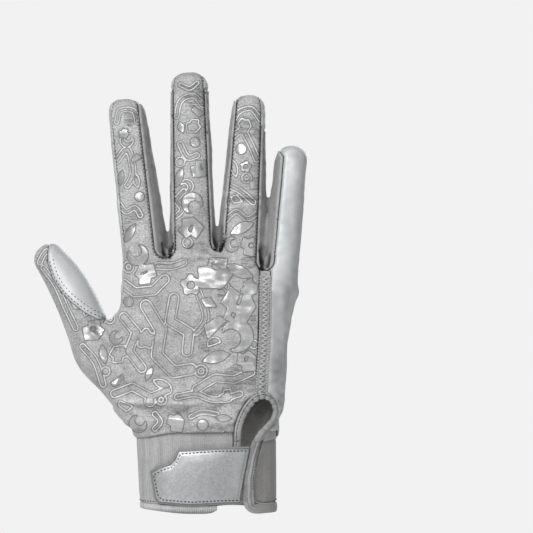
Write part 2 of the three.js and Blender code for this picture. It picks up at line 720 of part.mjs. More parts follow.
// A layer on the cuff's back between two heights above its cloth
const layer = (low, thickness, outline) =>
  cuffSolid(-low - thickness, -2, cuffTop)
    .subtract(cuffSolid(-low, -3, cuffTop + 1))
    .intersect(prism(outline, -FAR, 0));
const hookOutline = [
  [HOOK_PATCH.left, HOOK_PATCH.low],
  [HOOK_PATCH.right, HOOK_PATCH.low],
  [HOOK_PATCH.right, HOOK_PATCH.high],
  [HOOK_PATCH.left, HOOK_PATCH.high],
].map(([across, up]) => [across * halfWrist, up * WRIST_SEAM_HEIGHT]);
const strapRise = FIT_GAP + HOOK_THICKNESS + FIT_GAP;
const hookPatch = layer(FIT_GAP, HOOK_THICKNESS, hookOutline);
const strapBase = layer(strapRise, STRAP_THICKNESS, strapOutline(STRAP_BORDER));
const strapFace = layer(strapRise + STRAP_THICKNESS + FIT_GAP, STRAP_FACE_THICKNESS, strapOutline(0));

// Materials and nodes

// Each mesh gets a material of its own from its finish
const finish = (color, roughness, metalness) => () =>
  new THREE.MeshStandardMaterial({ color, roughness, metalness });
const heatherFabric = finish(0xa3a4a2, 0.85, 0);
const silverFilm = finish(0xb4b8ba, 0.28, 0.55);
const sideFabric = finish(0x7b7c7d, 0.8, 0);
const cuffKnit = finish(0x9d9f9c, 0.85, 0);
const bindingTape = finish(0x9a9b9a, 0.8, 0);
const meshPatch = finish(0x9c9ea0, 0.6, 0.2);

function node(name, solid, makeMaterial) {
  const made = solid.getMesh();
  const geometry = new THREE.BufferGeometry();
  const positions = new Float32Array(made.numVert * 3);
  for (let i = 0; i < made.numVert; i++) {
    positions.set(made.vertProperties.subarray(i * made.numProp, i * made.numProp + 3), 3 * i);
  }
  geometry.setAttribute("position", new THREE.BufferAttribute(positions, 3));
  geometry.setIndex(new THREE.BufferAttribute(new Uint32Array(made.triVerts), 1));
  geometry.computeVertexNormals();
  const mesh = new THREE.Mesh(geometry, makeMaterial());
  mesh.name = name;
  return mesh;
}

const glove = new THREE.Group();
glove.add(
  node("back_panel", backPanel, heatherFabric),
  node("palm_panel", palmPanel, silverFilm),
  node("side_strip_index_middle", strips[0], sideFabric),
  node("side_strip_middle_ring", strips[1], sideFabric),
  node("side_strip_ring_little", strips[2], sideFabric),
  node("web_patch", webPatch, meshPatch),
  node("seam_tape", seamTape, bindingTape),
  node("cuff_band", cuffBand, cuffKnit),
  node("cuff_hem", cuffHem, bindingTape),
  node("slit_binding", slitBinding, bindingTape),
  node("hook_patch", hookPatch, sideFabric),
  node("strap_base", strapBase, cuffKnit),
  node("strap_face", strapFace, silverFilm),
);

export default glove;
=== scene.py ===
"""Looks of a right-hand glove for catching a ball: cloth, coated palm, seams, cuff and strap.

Millimetres in the tables and in the numpy code, metres in Blender. +Z runs to the fingertips, the
back of the hand faces -Y and the thumb points to -X.
"""

import math

import bpy
import numpy as np
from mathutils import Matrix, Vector
from mathutils.bvhtree import BVHTree
from mathutils.kdtree import KDTree


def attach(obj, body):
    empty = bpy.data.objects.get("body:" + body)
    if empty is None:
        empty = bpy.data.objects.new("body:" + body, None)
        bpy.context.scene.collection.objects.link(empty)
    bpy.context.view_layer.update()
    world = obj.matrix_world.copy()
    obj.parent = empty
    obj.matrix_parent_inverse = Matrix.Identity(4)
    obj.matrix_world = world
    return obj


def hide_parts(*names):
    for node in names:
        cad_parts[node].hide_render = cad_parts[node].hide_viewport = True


bl_info = {
    "name": "Catching glove",
    "version": (1, 0, 0),
    "blender": (4, 5, 0),
    "location": "View3D > Sidebar > Glove",
    "description": "Dresses the glove's solids with cloth, leather, seams, cuff and strap",
    "category": "Object",
}

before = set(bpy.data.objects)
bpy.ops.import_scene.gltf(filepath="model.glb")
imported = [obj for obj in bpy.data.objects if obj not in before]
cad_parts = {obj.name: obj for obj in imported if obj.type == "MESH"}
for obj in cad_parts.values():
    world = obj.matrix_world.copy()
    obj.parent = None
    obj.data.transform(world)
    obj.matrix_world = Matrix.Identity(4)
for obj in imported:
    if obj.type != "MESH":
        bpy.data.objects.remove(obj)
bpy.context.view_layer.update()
MM = 0.001

# The hand's form, as in the part's own tables
WRIST_SEAM = 39.6
HAND_HEIGHT = 100.0
HALF_WRIST, HALF_KNUCKLES = 38.8, 46.8
WRIST_DEPTH, KNUCKLE_DEPTH = 46.0, 29.0
ROOT = 118.2
CURL, MIDDLE_LENGTH = 8.0, 117.2
TIP_ROUNDING = 9.5
# depths of a finger
ROOT_DEPTH, TIP_DEPTH = 22, 17
FINGERS = {
    # name: (across, lean, length, width, tip width, left seam root and tip, right seam root and tip)
    "index": (0.17, -7.7, 102.8, 27, 19.8, (1.4, 1.1), (8.4, 3.2)),
    "middle": (0.418, -1.4, 117.2, 26, 20, (3.0, 0.8), (2.6, 2.0)),
    "ring": (0.68, 2.5, 104.9, 29.6, 17.4, (4.2, 2.4), (6.4, 1.1)),
    "little": (0.894, 6, 77.3, 20.8, 17, (7.2, 4.0), (0, 0)),
}
NAMES = list(FINGERS)
WEBS = [WRIST_SEAM + HAND_HEIGHT * up for up in (0.96, 0.998, 0.893)]
PALM_WEB_RISE = 10.7
HAND_ROWS = np.array([
    # up, widen, shift, back, palm, slope
    (0, 0, -0.0235, 0.04, 0.02, 0),
    (0.045, 0.1, -0.034, -0.16, 0, 0),
    (0.094, 0.36, -0.085, -0.14, 0.02, 0),
    (0.15, 0.84, -0.113, 0.14, 0.05, 0),
    (0.2, 0.9, -0.11, 0.06, 0.08, 0),
    (0.36, 0.96, -0.096, 0.46, 0.22, 0),
    (0.52, 1.2, -0.122, 0.76, 0.46, 0),
    (0.615, 1.37, -0.118, 0.86, 0.66, 0.04),
    (0.64, 1.25, -0.092, 0.88, 0.72, 0.05),
    (0.68, 1.05, -0.042, 0.92, 0.8, 0.1),
    (0.73, 0.99, -0.02, 0.95, 0.88, 0.2),
    (0.86, 1.084, 0.006, 1.05, 1.05, 0.6),
    (0.95, 1.12, 0.012, 1.25, 1.2, 1),
    (0.99, 1.02, 0.014, 1.5, 1.45, 1),
    (1.03, 1.0, 0.014, 1.8, 1.75, 1),
    (1.06, 0.98, 0.014, 2.15, 2.1, 1),
    (1.075, 0.96, 0.014, 2.35, 2.35, 1),
])
THUMB_LENGTH, THUMB_WIDTH, THUMB_DEPTH = 99.5, 27.0, 24.0
THUMB_ROWS = np.array([
    # left, up, forward, wide, deep
    (-0.03, -0.07, 0.08, 0.3, 0.6),
    (0, 0, 0.1, 0.5, 0.85),
    (0.085, 0.161, 0.14, 0.78, 1.08),
    (0.177, 0.307, 0.24, 1.0, 1.14),
    (0.246, 0.452, 0.36, 0.87, 1.02),
    (0.32, 0.613, 0.46, 0.82, 0.92),
    (0.386, 0.727, 0.54, 0.75, 0.84),
    (0.446, 0.806, 0.61, 0.65, 0.74),
])
LEAF_SEAM = np.array([
    (0.456, 0.9), (0.461, 0.796), (0.435, 0.711), (0.386, 0.635),
    (0.322, 0.576), (0.236, 0.517), (0.171, 0.489), (0.136, 0.497),
])
BINDING_ROWS = np.array([
    # across, up, wide, lift, thick
    (0.29, 0.09, 1.0, -0.5, 0.8),
    (0.33, 0.24, 1.0, -0.5, 0.8),
    (0.373, 0.438, 1.0, -0.5, 0.8),
    (0.405, 0.6, 1.0, -0.3, 0.9),
    (0.41, 0.695, 1.0, 0, 1),
    (0.439, 0.782, 1.0, 0, 1),
    (0.494, 0.86, 1.0, 0, 1),
    (0.564, 0.928, 1.0, 0, 1),
    (0.647, 0.979, 0.95, 0, 1),
    (0.743, 1.0, 0.9, 0, 1),
    (0.834, 0.984, 0.85, 0, 1),
    (0.9, 0.936, 0.8, 0, 1),
    (0.925, 0.87, 0.8, 0, 1),
    (0.895, 0.8, 0.85, 0.2, 1),
    (0.813, 0.734, 1.0, 0.6, 1.1),
    (0.722, 0.67, 1.15, 1.1, 1.2),
    (0.66, 0.592, 1.3, 1.5, 1.5),
    (0.61, 0.498, 1.45, 1.7, 1.7),
    (0.577, 0.387, 1.6, 1.7, 1.7),
    (0.55, 0.266, 1.7, 1.7, 1.7),
    (0.55, 0.164, 1.7, 1.6, 1.6),
    (0.565, 0.092, 1.6, 1.3, 1.4),
])
BINDING_WIDTH, BINDING_THICKNESS, KEYHOLE_TOP = 3.7, 2.8, 62.3
STRAP_OUTLINE = np.array([
    (0.229, 0.158), (-0.257, 0.137), (-0.66, 0.165), (-0.715, 0.235), (-0.77, 0.55), (-0.67, 0.61),
    (-0.506, 0.662), (-0.452, 0.717), (-0.395, 0.84), (-0.117, 0.86), (0.229, 0.88),
])
# how square the rounded sections are: 2 is an ellipse
SQUARENESS, BINDING_SQUARENESS = 2.5, 2.3


# Small tools
def lerp(a, b, t):
    return a + (b - a) * t


def clamp(v, low=0.0, high=1.0):
    return np.clip(v, low, high)


def smoothstep(low, high, v):
    t = clamp((v - low) / (high - low))
    return t * t * (3 - 2 * t)


def through(rows, at):
    """The table's columns after the first, read between its rows without overshoot."""
    keys, values = rows[:, 0], rows[:, 1:]
    at = np.clip(np.atleast_1d(np.asarray(at, float)), keys[0], keys[-1])
    h = np.diff(keys)[:, None]
    secant = np.diff(values, axis=0) / h
    tangent = np.zeros_like(values)
    a, b = secant[:-1], secant[1:]
    same = a * b > 0
    tangent[1:-1][same] = (2 * a * b)[same] / (a + b)[same]
    tangent[0], tangent[-1] = secant[0], secant[-1]
    i = np.clip(np.searchsorted(keys, at, side="right") - 1, 0, len(keys) - 2)
    t = ((at - keys[i]) / h[i, 0])[:, None]
    step = h[i]
    return (
        (2 * t**3 - 3 * t**2 + 1) * values[i]
        + (t**3 - 2 * t**2 + t) * step * tangent[i]
        + (3 * t**2 - 2 * t**3) * values[i + 1]
        + (t**3 - t**2) * step * tangent[i + 1]
    )


def unit(rows):
    """Vectors of length 1, one in each row."""
    return rows / np.linalg.norm(rows, axis=-1, keepdims=True)


def round_square(sides, squareness, turn=0.0):
    a = 2 * math.pi * (np.arange(sides) + turn) / sides
    c, s = np.cos(a), np.sin(a)
    power = 2 / squareness
    return np.sign(c) * np.abs(c) ** power, np.sign(s) * np.abs(s) ** power


def signed_distance(outline, x, z):
    """Distance to a closed outline in x and z, below 0 inside it."""
    a = np.asarray(outline, float)
    b = np.roll(a, -1, axis=0)
    near = np.full(len(x), 1e9)
    inside = np.zeros(len(x), bool)
    for (ax, az), (bx, bz) in zip(a, b):
        ex, ez = bx - ax, bz - az
        size = ex * ex + ez * ez
        if size < 1e-12:
            continue
        t = clamp(((x - ax) * ex + (z - az) * ez) / size)
        near = np.minimum(near, (x - ax - t * ex) ** 2 + (z - az - t * ez) ** 2)
        crosses = (az > z) != (bz > z)
        if crosses.any():
            at = ax + (z - az) * ex / (ez if ez else 1e-12)
            inside ^= crosses & (x < at)
    return np.where(inside, -1, 1) * np.sqrt(near)


def line_distance(path, x, z):
    """Distance to an open line in x and z."""
    near = np.full(len(x), 1e9)
    for (ax, az), (bx, bz) in zip(path[:-1], path[1:]):
        ex, ez = bx - ax, bz - az
        t = clamp(((x - ax) * ex + (z - az) * ez) / (ex * ex + ez * ez + 1e-12))
        near = np.minimum(near, (x - ax - t * ex) ** 2 + (z - az - t * ez) ** 2)
    return np.sqrt(near)


def bell(v, middle, width):
    return np.exp(-(((v - middle) / width) ** 2))


def ripple(x, y, z, wave, seed, count=9):
    """A smooth field of about -1 to 1 whose swells are about wave long."""
    rng = np.random.default_rng(seed)
    total = 0
    for _ in range(count):
        way = unit(rng.normal(size=3))
        length = wave * rng.uniform(0.6, 1.6)
        total = total + np.sin(
            (x * way[0] + y * way[1] + z * way[2]) * 2 * math.pi / length + rng.uniform(0, 6.28)
        )
    return total / math.sqrt(count)


# Places on the form
def half_depth(share):
    return lerp(WRIST_DEPTH / 2, KNUCKLE_DEPTH / 2, share)


def hand_at(z):
    """Centre, half width, depth to the back, depth to the palm and slope at heights z."""
    row = through(HAND_ROWS, (np.asarray(z, float) - WRIST_SEAM) / HAND_HEIGHT)
    half = lerp(HALF_WRIST, HALF_KNUCKLES, row[:, 0])
    return row[:, 1] * HALF_KNUCKLES, half, half_depth(row[:, 2]), half_depth(row[:, 3]), row[:, 4]


CUFF_FOOT_HALF, CUFF_TUCK = 36.2, 1.6


def cuff_at(z):
    centre, half, back, palm, _ = (v[0] for v in hand_at([WRIST_SEAM]))
    t = clamp(np.atleast_1d(np.asarray(z, float)) / WRIST_SEAM)
    ones = np.ones_like(t)
    return (
        centre * t,
        lerp(CUFF_FOOT_HALF, half - CUFF_TUCK, t),
        (back - CUFF_TUCK) * ones,
        (palm - CUFF_TUCK) * ones,
    )


def back_y(x, z):
    """y of the cloth's outer face on the back."""
    x, z = np.broadcast_arrays(np.asarray(x, float), np.asarray(z, float))
    hand, cuff = hand_at(z.ravel()), cuff_at(z.ravel())
    high = z.ravel() > WRIST_SEAM
    centre, half, back = (np.where(high, h, c) for h, c in zip(hand[:3], cuff[:3]))
    reach = np.minimum(0.985, np.abs((x.ravel() - centre) / half))
    return (-back * (1 - reach**SQUARENESS) ** (1 / SQUARENESS)).reshape(x.shape)


def curl(z):
    return CURL * (np.maximum(0, z - ROOT) / MIDDLE_LENGTH) ** 2


def finger_at(name, z):
    across, lean, length, width, tip, *_ = FINGERS[name]
    along = (z - ROOT) / length
    x = -HALF_KNUCKLES + across * 2 * HALF_KNUCKLES + math.tan(math.radians(lean)) * (z - ROOT)
    return x, lerp(width, tip, along) / 2, lerp(ROOT_DEPTH, TIP_DEPTH, along) / 2, along


def finger_top(name):
    return ROOT + FINGERS[name][2]


def seam_x(name, side, z, seam, grow=0.0):
    x, half, _, along = finger_at(name, z)
    return x + side * (half - lerp(seam[0], seam[1], clamp(along)) + grow)


def thumb_place(left, up, forward=0.0):
    return (
        -0.876 * HALF_KNUCKLES - left * THUMB_LENGTH, forward * THUMB_DEPTH,
        WRIST_SEAM + 14.4 + up * THUMB_LENGTH
    )


# Seam outlines
def web_round(a, b, web, grow, seam_a=None, seam_b=None):
    foot = web + 4
    start = seam_x(a, 1, foot, seam_a or FINGERS[a][6], grow)
    end = seam_x(b, -1, foot, seam_b or FINGERS[b][5], grow)
    shares = np.linspace(0, 1, 11)
    drop = (4 - grow) * np.sin(np.pi * shares) ** 0.6
    return list(zip(lerp(start, end, shares), foot - drop))


def fingers_outline(names, left_seams, right_seams, webs, inset, grow):
    outline = []
    for i, name in enumerate(names):
        seam_l, seam_r = left_seams[name], right_seams[name]
        foot = finger_top(name) - TIP_ROUNDING
        heights = np.linspace(ROOT if i == 0 else webs[i - 1] + 5, foot, 8)
        outline += [(seam_x(name, -1, z, seam_l, grow), z) for z in heights]
        left, right = seam_x(name, -1, foot, seam_l, grow), seam_x(name, 1, foot, seam_r, grow)
        for turn in np.radians([160, 145, 130, 115, 102, 90, 78, 65, 50, 35, 20]):
            c = np.sign(np.cos(turn)) * abs(np.cos(turn)) ** 0.8
            up = np.sin(turn) ** 0.8 * (TIP_ROUNDING - inset + grow)
            outline.append(((left + right) / 2 + c * (right - left) / 2, foot + up))
        last = i == len(webs)
        heights = np.linspace(foot, ROOT if last else webs[i] + 5, 8)
        outline += [(seam_x(name, 1, z, seam_r, grow), z) for z in heights]
        if not last:
            following = NAMES[NAMES.index(name) + 1]
            outline += web_round(name, following, webs[i], grow, seam_r, left_seams.get(following))
    return outline


TAPE_WIDTH, ZIGZAG_PITCH = 5.4, 1.35


def tape_x(z):
    """Left edge of the side tape."""
    return lerp(25.2, 27.6, clamp((z - 60) / 40))


def back_outline(grow):
    names = NAMES[:3]
    outline = fingers_outline(
        names, {n: FINGERS[n][5] for n in NAMES}, {n: FINGERS[n][6] for n in NAMES}, WEBS, -1.6, grow,
    )
    tape = tape_x(WEBS[2]) - 0.3 + grow
    # at the foot of the index finger the cloth reaches around its side
    outline = [(x - 3.2 * bell(z, 120, 11) if x < -38 else x, z) for x, z in outline]
    body, web = outline[:-11], outline[-11:]
    kept = body + [p for p in web if p[0] < tape - 0.1]
    return kept + [
        (tape, WEBS[2] + 1), (tape_x(80) - 0.3 + grow, 80), (tape_x(50) - 0.3 + grow, 50),
        (tape_x(50) - 0.3 + grow, 34),
        (-58.5, 34), (-58.5, 99.6), (-55.7 - grow, 102.6), (-52.3 - grow, 105.6 + grow),
        (-48.6 - grow, 111.6),
    ]


def thumb_outline(grow):
    seam = [(p[0] + grow, p[2] + grow) for p in (thumb_place(*row) for row in LEAF_SEAM)]
    left = -HALF_KNUCKLES
    return seam + [
        (-57.1 + grow, 99.6), (left + grow, 74.6), (left + grow, 34), (-200, 34), (-200, 190),
        (seam[0][0], 190)
    ]


def thumb_seam_y(z):
    return 9 + 0.11 * (z - 60)


def palm_outline(grow):
    side = {n: (1.8, 1.8) for n in NAMES}
    left, right = dict(side, index=(-9, -9)), dict(side, little=(-9, -9))
    outline = fingers_outline(NAMES, left, right, [z + PALM_WEB_RISE for z in WEBS], -3, grow)
    return outline + [(61, ROOT), (61, 0), (-61, 0)]


def strip_outline(i, shrink):
    a, b = NAMES[i], NAMES[i + 1]
    foot = WEBS[i] + 4
    top_a, top_b = finger_top(a) - 6 - shrink, finger_top(b) - 6 - shrink
    ends_at_seam = b == "little"
    edge = lambda z: seam_x(b, -1, z, FINGERS[b][5]) - shrink if ends_at_seam else finger_at(b, z)[0]
    return (
        [(finger_at(a, top_a)[0], top_a), (finger_at(a, foot)[0], foot)]
        + web_round(a, b, WEBS[i], shrink)
        + [(edge(foot), foot), (edge(top_b), top_b)]
    )


def tape_outline(grow):
    heights = [58.3, 90, WEBS[2] - 0.3]
    left = [(tape_x(z) - grow, z) for z in heights]
    right = [(tape_x(z) + TAPE_WIDTH + grow, z) for z in heights[::-1]]
    left[-1] = (left[-1][0], left[-1][1] + grow)
    right[0] = (right[0][0], right[0][1] + grow)
    return left + right


def patch_outline(grow):
    shares = [(1.12, 0.65), (1.0, 0.735), (0.84, 0.7), (0.8, 0.62), (0.92, 0.585), (1.09, 0.585)]
    middle = np.array([-HALF_KNUCKLES, WRIST_SEAM + 65])
    points = np.array([(-x * HALF_KNUCKLES, WRIST_SEAM + z * HAND_HEIGHT) for x, z in shares])
    away = points - middle
    return points + 1.4 * grow * unit(away)


def binding_path(count):
    """Middles in x, y, z and the columns wide and thick, along the binding."""
    x, z = BINDING_ROWS[:, 0] * HALF_WRIST, BINDING_ROWS[:, 1] * KEYHOLE_TOP
    length = np.concatenate([[0], np.cumsum(np.hypot(np.diff(x), np.diff(z)))])
    table = np.column_stack([length, x, z, BINDING_ROWS[:, 2:]])
    at = through(table, np.linspace(0, length[-1], count))
    y = back_y(at[:, 0], at[:, 1]) - at[:, 3]
    return np.column_stack(
        [at[:, 0], y, at[:, 1]]
    ), at[:, 2], at[:, 4], np.linspace(0, length[-1], count)


def slit_outline(grow):
    middle, wide, _, _ = binding_path(60)
    run = unit(np.gradient(middle[:, [0, 2]], axis=0))
    reach = wide * BINDING_WIDTH / 2 + grow
    edge = [(m[0] - r[1] * w, m[2] + r[0] * w) for m, r, w in zip(middle, run, reach)]
    return [(edge[0][0], -10)] + edge + [(edge[-1][0], -10)]


def slit_field(x, y, z):
    """Below 0 in the keyhole opening."""
    return np.maximum(signed_distance(slit_outline(0.3), x, z), y)


def hem_line(x):
    """Height of the back cloth's lower edge."""
    return WRIST_SEAM + 3.6 * smoothstep(-38, -14, x)


# Meshes
def new_object(name, verts, faces, material=None):
    mesh = bpy.data.meshes.new(name)
    verts = np.asarray(verts, float) * MM
    mesh.from_pydata(verts.tolist(), [], faces.tolist() if isinstance(faces, np.ndarray) else faces)
    mesh.update()
    obj = bpy.data.objects.new(name, mesh)
    bpy.context.scene.collection.objects.link(obj)
    if material:
        mesh.materials.append(material)
    return obj


def pick(*objs):
    bpy.ops.object.select_all(action="DESELECT")
    for obj in objs:
        obj.select_set(True)
    bpy.context.view_layer.objects.active = objs[0]


def apply_modifiers(obj):
    pick(obj)
    for mod in list(obj.modifiers):
        bpy.ops.object.modifier_apply(modifier=mod.name)


def read_mesh(obj):
    mesh = obj.data
    verts = np.empty(len(mesh.vertices) * 3)
    mesh.vertices.foreach_get("co", verts)
    mesh.calc_loop_triangles()
    tris = np.empty(len(mesh.loop_triangles) * 3, np.int64)
    mesh.loop_triangles.foreach_get("vertices", tris)
    return verts.reshape(-1, 3) / MM, tris.reshape(-1, 3)


def vertex_normals(verts, tris):
    a, b, c = (verts[tris[:, k]] for k in range(3))
    face = np.cross(b - a, c - a)
    normal = np.zeros_like(verts)
    for k in range(3):
        np.add.at(normal, tris[:, k], face)
    size = np.linalg.norm(normal, axis=1)
    return normal / np.maximum(size, 1e-12)[:, None]


def clip(verts, tris, field):
    """The part of a mesh where the field is below 0, cut cleanly along its zero line."""
    inside = field < 0
    count = inside[tris].sum(axis=1)
    made, first, second = [tris[count == 3]], [], []
    jobs = []
    for kept in (1, 2):
        part = tris[count == kept]
        flags = inside[part]
        odd = np.argmax(flags, axis=1) if kept == 1 else np.argmin(flags, axis=1)
        rows = np.arange(len(part))
        a, b, c = part[rows, odd], part[rows, (odd + 1) % 3], part[rows, (odd + 2) % 3]
        jobs.append((kept, a, b, c))
        first += [a, a]
        second += [b, c]
    low = np.minimum(np.concatenate(first), np.concatenate(second))
    high = np.maximum(np.concatenate(first), np.concatenate(second))
    key = low * np.int64(len(verts)) + high
    unique, where = np.unique(key, return_inverse=True)
    lo, hi = unique // len(verts), unique % len(verts)
    t = field[lo] / (field[lo] - field[hi])
    cuts = lerp(verts[lo], verts[hi], t[:, None])
    where = where.reshape(-1) + len(verts)
    start = 0
    for kept, a, b, c in jobs:
        n = len(a)
        ab, ac = where[start : start + n], where[start + n : start + 2 * n]
        start += 2 * n
        if kept == 1:
            made.append(np.column_stack([a, ab, ac]))
        else:
            made += [np.column_stack([ab, b, c]), np.column_stack([ab, c, ac])]
    faces = np.concatenate(made)
    everything = np.concatenate([verts, cuts])
    used, faces = np.unique(faces, return_inverse=True)
    return everything[used], faces.reshape(-1, 3)


def weld(verts, tris, size=0.02):
    """Merges points closer than size and drops the faces that vanish."""
    key = np.round(verts[:, :3] / size).astype(np.int64)
    _, first, back = np.unique(key, axis=0, return_index=True, return_inverse=True)
    tris = back.reshape(-1)[tris]
    good = (tris[:, 0] != tris[:, 1]) & (tris[:, 1] != tris[:, 2]) & (tris[:, 2] != tris[:, 0])
    return verts[first], tris[good]


def rim_points(tris):
    edges = np.sort(np.concatenate([tris[:, [0, 1]], tris[:, [1, 2]], tris[:, [2, 0]]]), axis=1)
    unique, count = np.unique(edges, axis=0, return_counts=True)
    return np.unique(unique[count == 1])


def rim_distance(verts, tris, far=6.0):
    rim = rim_points(tris)
    tree = KDTree(len(rim))
    for i, v in enumerate(rim):
        tree.insert(verts[v], i)
    tree.balance()
    return np.array([min(far, tree.find(p)[2]) for p in verts])


def main_island(verts, tris):
    """Keeps the largest connected part."""
    parent = np.arange(len(verts))
    while True:
        before = parent.copy()
        low = parent[tris].min(axis=1)
        for k in range(3):
            np.minimum.at(parent, tris[:, k], low)
        parent = parent[parent]
        if (parent == before).all():
            break
    label = parent[tris[:, 0]]
    names, count = np.unique(label, return_counts=True)
    tris = tris[label == names[count.argmax()]]
    used, tris = np.unique(tris, return_inverse=True)
    return verts[used], tris.reshape(-1, 3)


def solidify(obj, thickness, inner_material=0):
    """Gives a sheet its wall, inwards from its outer face."""
    mod = obj.modifiers.new("Wall", "SOLIDIFY")
    mod.thickness = thickness * MM
    mod.offset = -1
    mod.material_offset = inner_material
    apply_modifiers(obj)


def smooth(obj, angle=50):
    pick(obj)
    bpy.ops.object.shade_smooth_by_angle(angle=math.radians(angle))


def grid_faces(rows, columns, closed=True):
    r, c = np.meshgrid(
        np.arange(rows - 1), np.arange(columns if closed else columns - 1), indexing="ij"
    )
    a = r * columns + c
    b = r * columns + (c + 1) % columns
    return np.stack([a, b, b + columns, a + columns], axis=-1).reshape(-1, 4)


def tube(name, rings, material=None, capped=True):
    """A closed form from rings of equally many points."""
    rings = np.asarray(rings, float)
    rows, columns = rings.shape[:2]
    faces = grid_faces(rows, columns).tolist()
    verts = rings.reshape(-1, 3)
    if capped:
        verts = np.concatenate([verts, rings[[0, -1]].mean(axis=1)])
        foot, top, last = rows * columns, rows * columns + 1, (rows - 1) * columns
        for k in range(columns):
            n = (k + 1) % columns
            faces += [(foot, n, k), (top, last + k, last + n)]
    return new_object(name, verts, faces, material)


# The skin over the hand
def hand_form():
    ups = np.concatenate([[-0.06], np.linspace(0, 1.075, 80)])
    row = through(HAND_ROWS, ups)
    c, s = round_square(120, SQUARENESS)
    rings = []
    for up, (widen, shift, back, palm, slope) in zip(ups, row):
        x = shift * HALF_KNUCKLES + c * lerp(HALF_WRIST, HALF_KNUCKLES, widen)
        y = s * half_depth(np.where(s < 0, back, palm))
        z = WRIST_SEAM + HAND_HEIGHT * up + slope * (0.42 * y - 0.0075 * x * x)
        rings.append(np.column_stack([x, y, z]))
    return tube("form_hand", rings)


def finger_form(name):
    top = finger_top(name)
    foot = top - TIP_ROUNDING
    c, s = round_square(64, 2.2)
    rows = [(ROOT - 18, 0.8)] + [(z, 1) for z in np.linspace(ROOT, foot, 40)]
    rows += [
        (lerp(foot, top, q), (1 - q**2.5) ** 0.4)
        for q in np.sin(np.linspace(0.1, math.pi / 2 - 0.02, 16))
    ]
    rings = []
    for z, size in rows:
        x, half, deep, _ = finger_at(name, z)
        rings.append(np.column_stack([x + c * half * size, curl(z) + s * deep * size, np.full(64, z)]))
    return tube("form_" + name, rings)


def thumb_form():
    steps = np.column_stack([np.arange(len(THUMB_ROWS)), THUMB_ROWS])
    rows = through(steps, np.linspace(0, len(THUMB_ROWS) - 1, 50))
    middles = np.array([thumb_place(*row[:3]) for row in rows])
    widths, depths = rows[:, 3] * THUMB_WIDTH / 2, rows[:, 4] * THUMB_DEPTH / 2
    tangents = unit(np.gradient(middles, axis=0))
    end, last = middles[-1], tangents[-1]
    shares = np.sin(np.linspace(0.1, math.pi / 2 - 0.02, 16))
    size = (1 - shares**2.2) ** 0.45
    middles = np.concatenate([middles, end + np.outer(shares * 9, last)])
    tangents = np.concatenate([tangents, np.tile(last, (16, 1))])
    widths, depths = np.concatenate(
        [widths, size * widths[-1]]
    ), np.concatenate([depths, size * depths[-1]])
    c, s = round_square(64, 2.1)
    rings = []
    for m, t, w, d in zip(middles, tangents, widths, depths):
        across = unit(np.array([t[2], 0, -t[0]]))
        forward = np.cross(t, across)
        rings.append(m + np.outer(c * w, across) + np.outer(s * d, forward))
    return tube("form_thumb", rings)


def make_skin(voxel):
    parts = [hand_form(), thumb_form()] + [finger_form(n) for n in NAMES]
    pick(*parts)
    bpy.ops.object.join()
    skin = parts[0]
    mod = skin.modifiers.new("Remesh", "REMESH")
    mod.mode = "VOXEL"
    mod.voxel_size = voxel * MM
    soft = skin.modifiers.new("Soft", "SMOOTH")
    soft.factor = 0.5
    soft.iterations = 9
    apply_modifiers(skin)
    verts, tris = read_mesh(skin)
    bpy.data.objects.remove(skin)
    return verts, tris


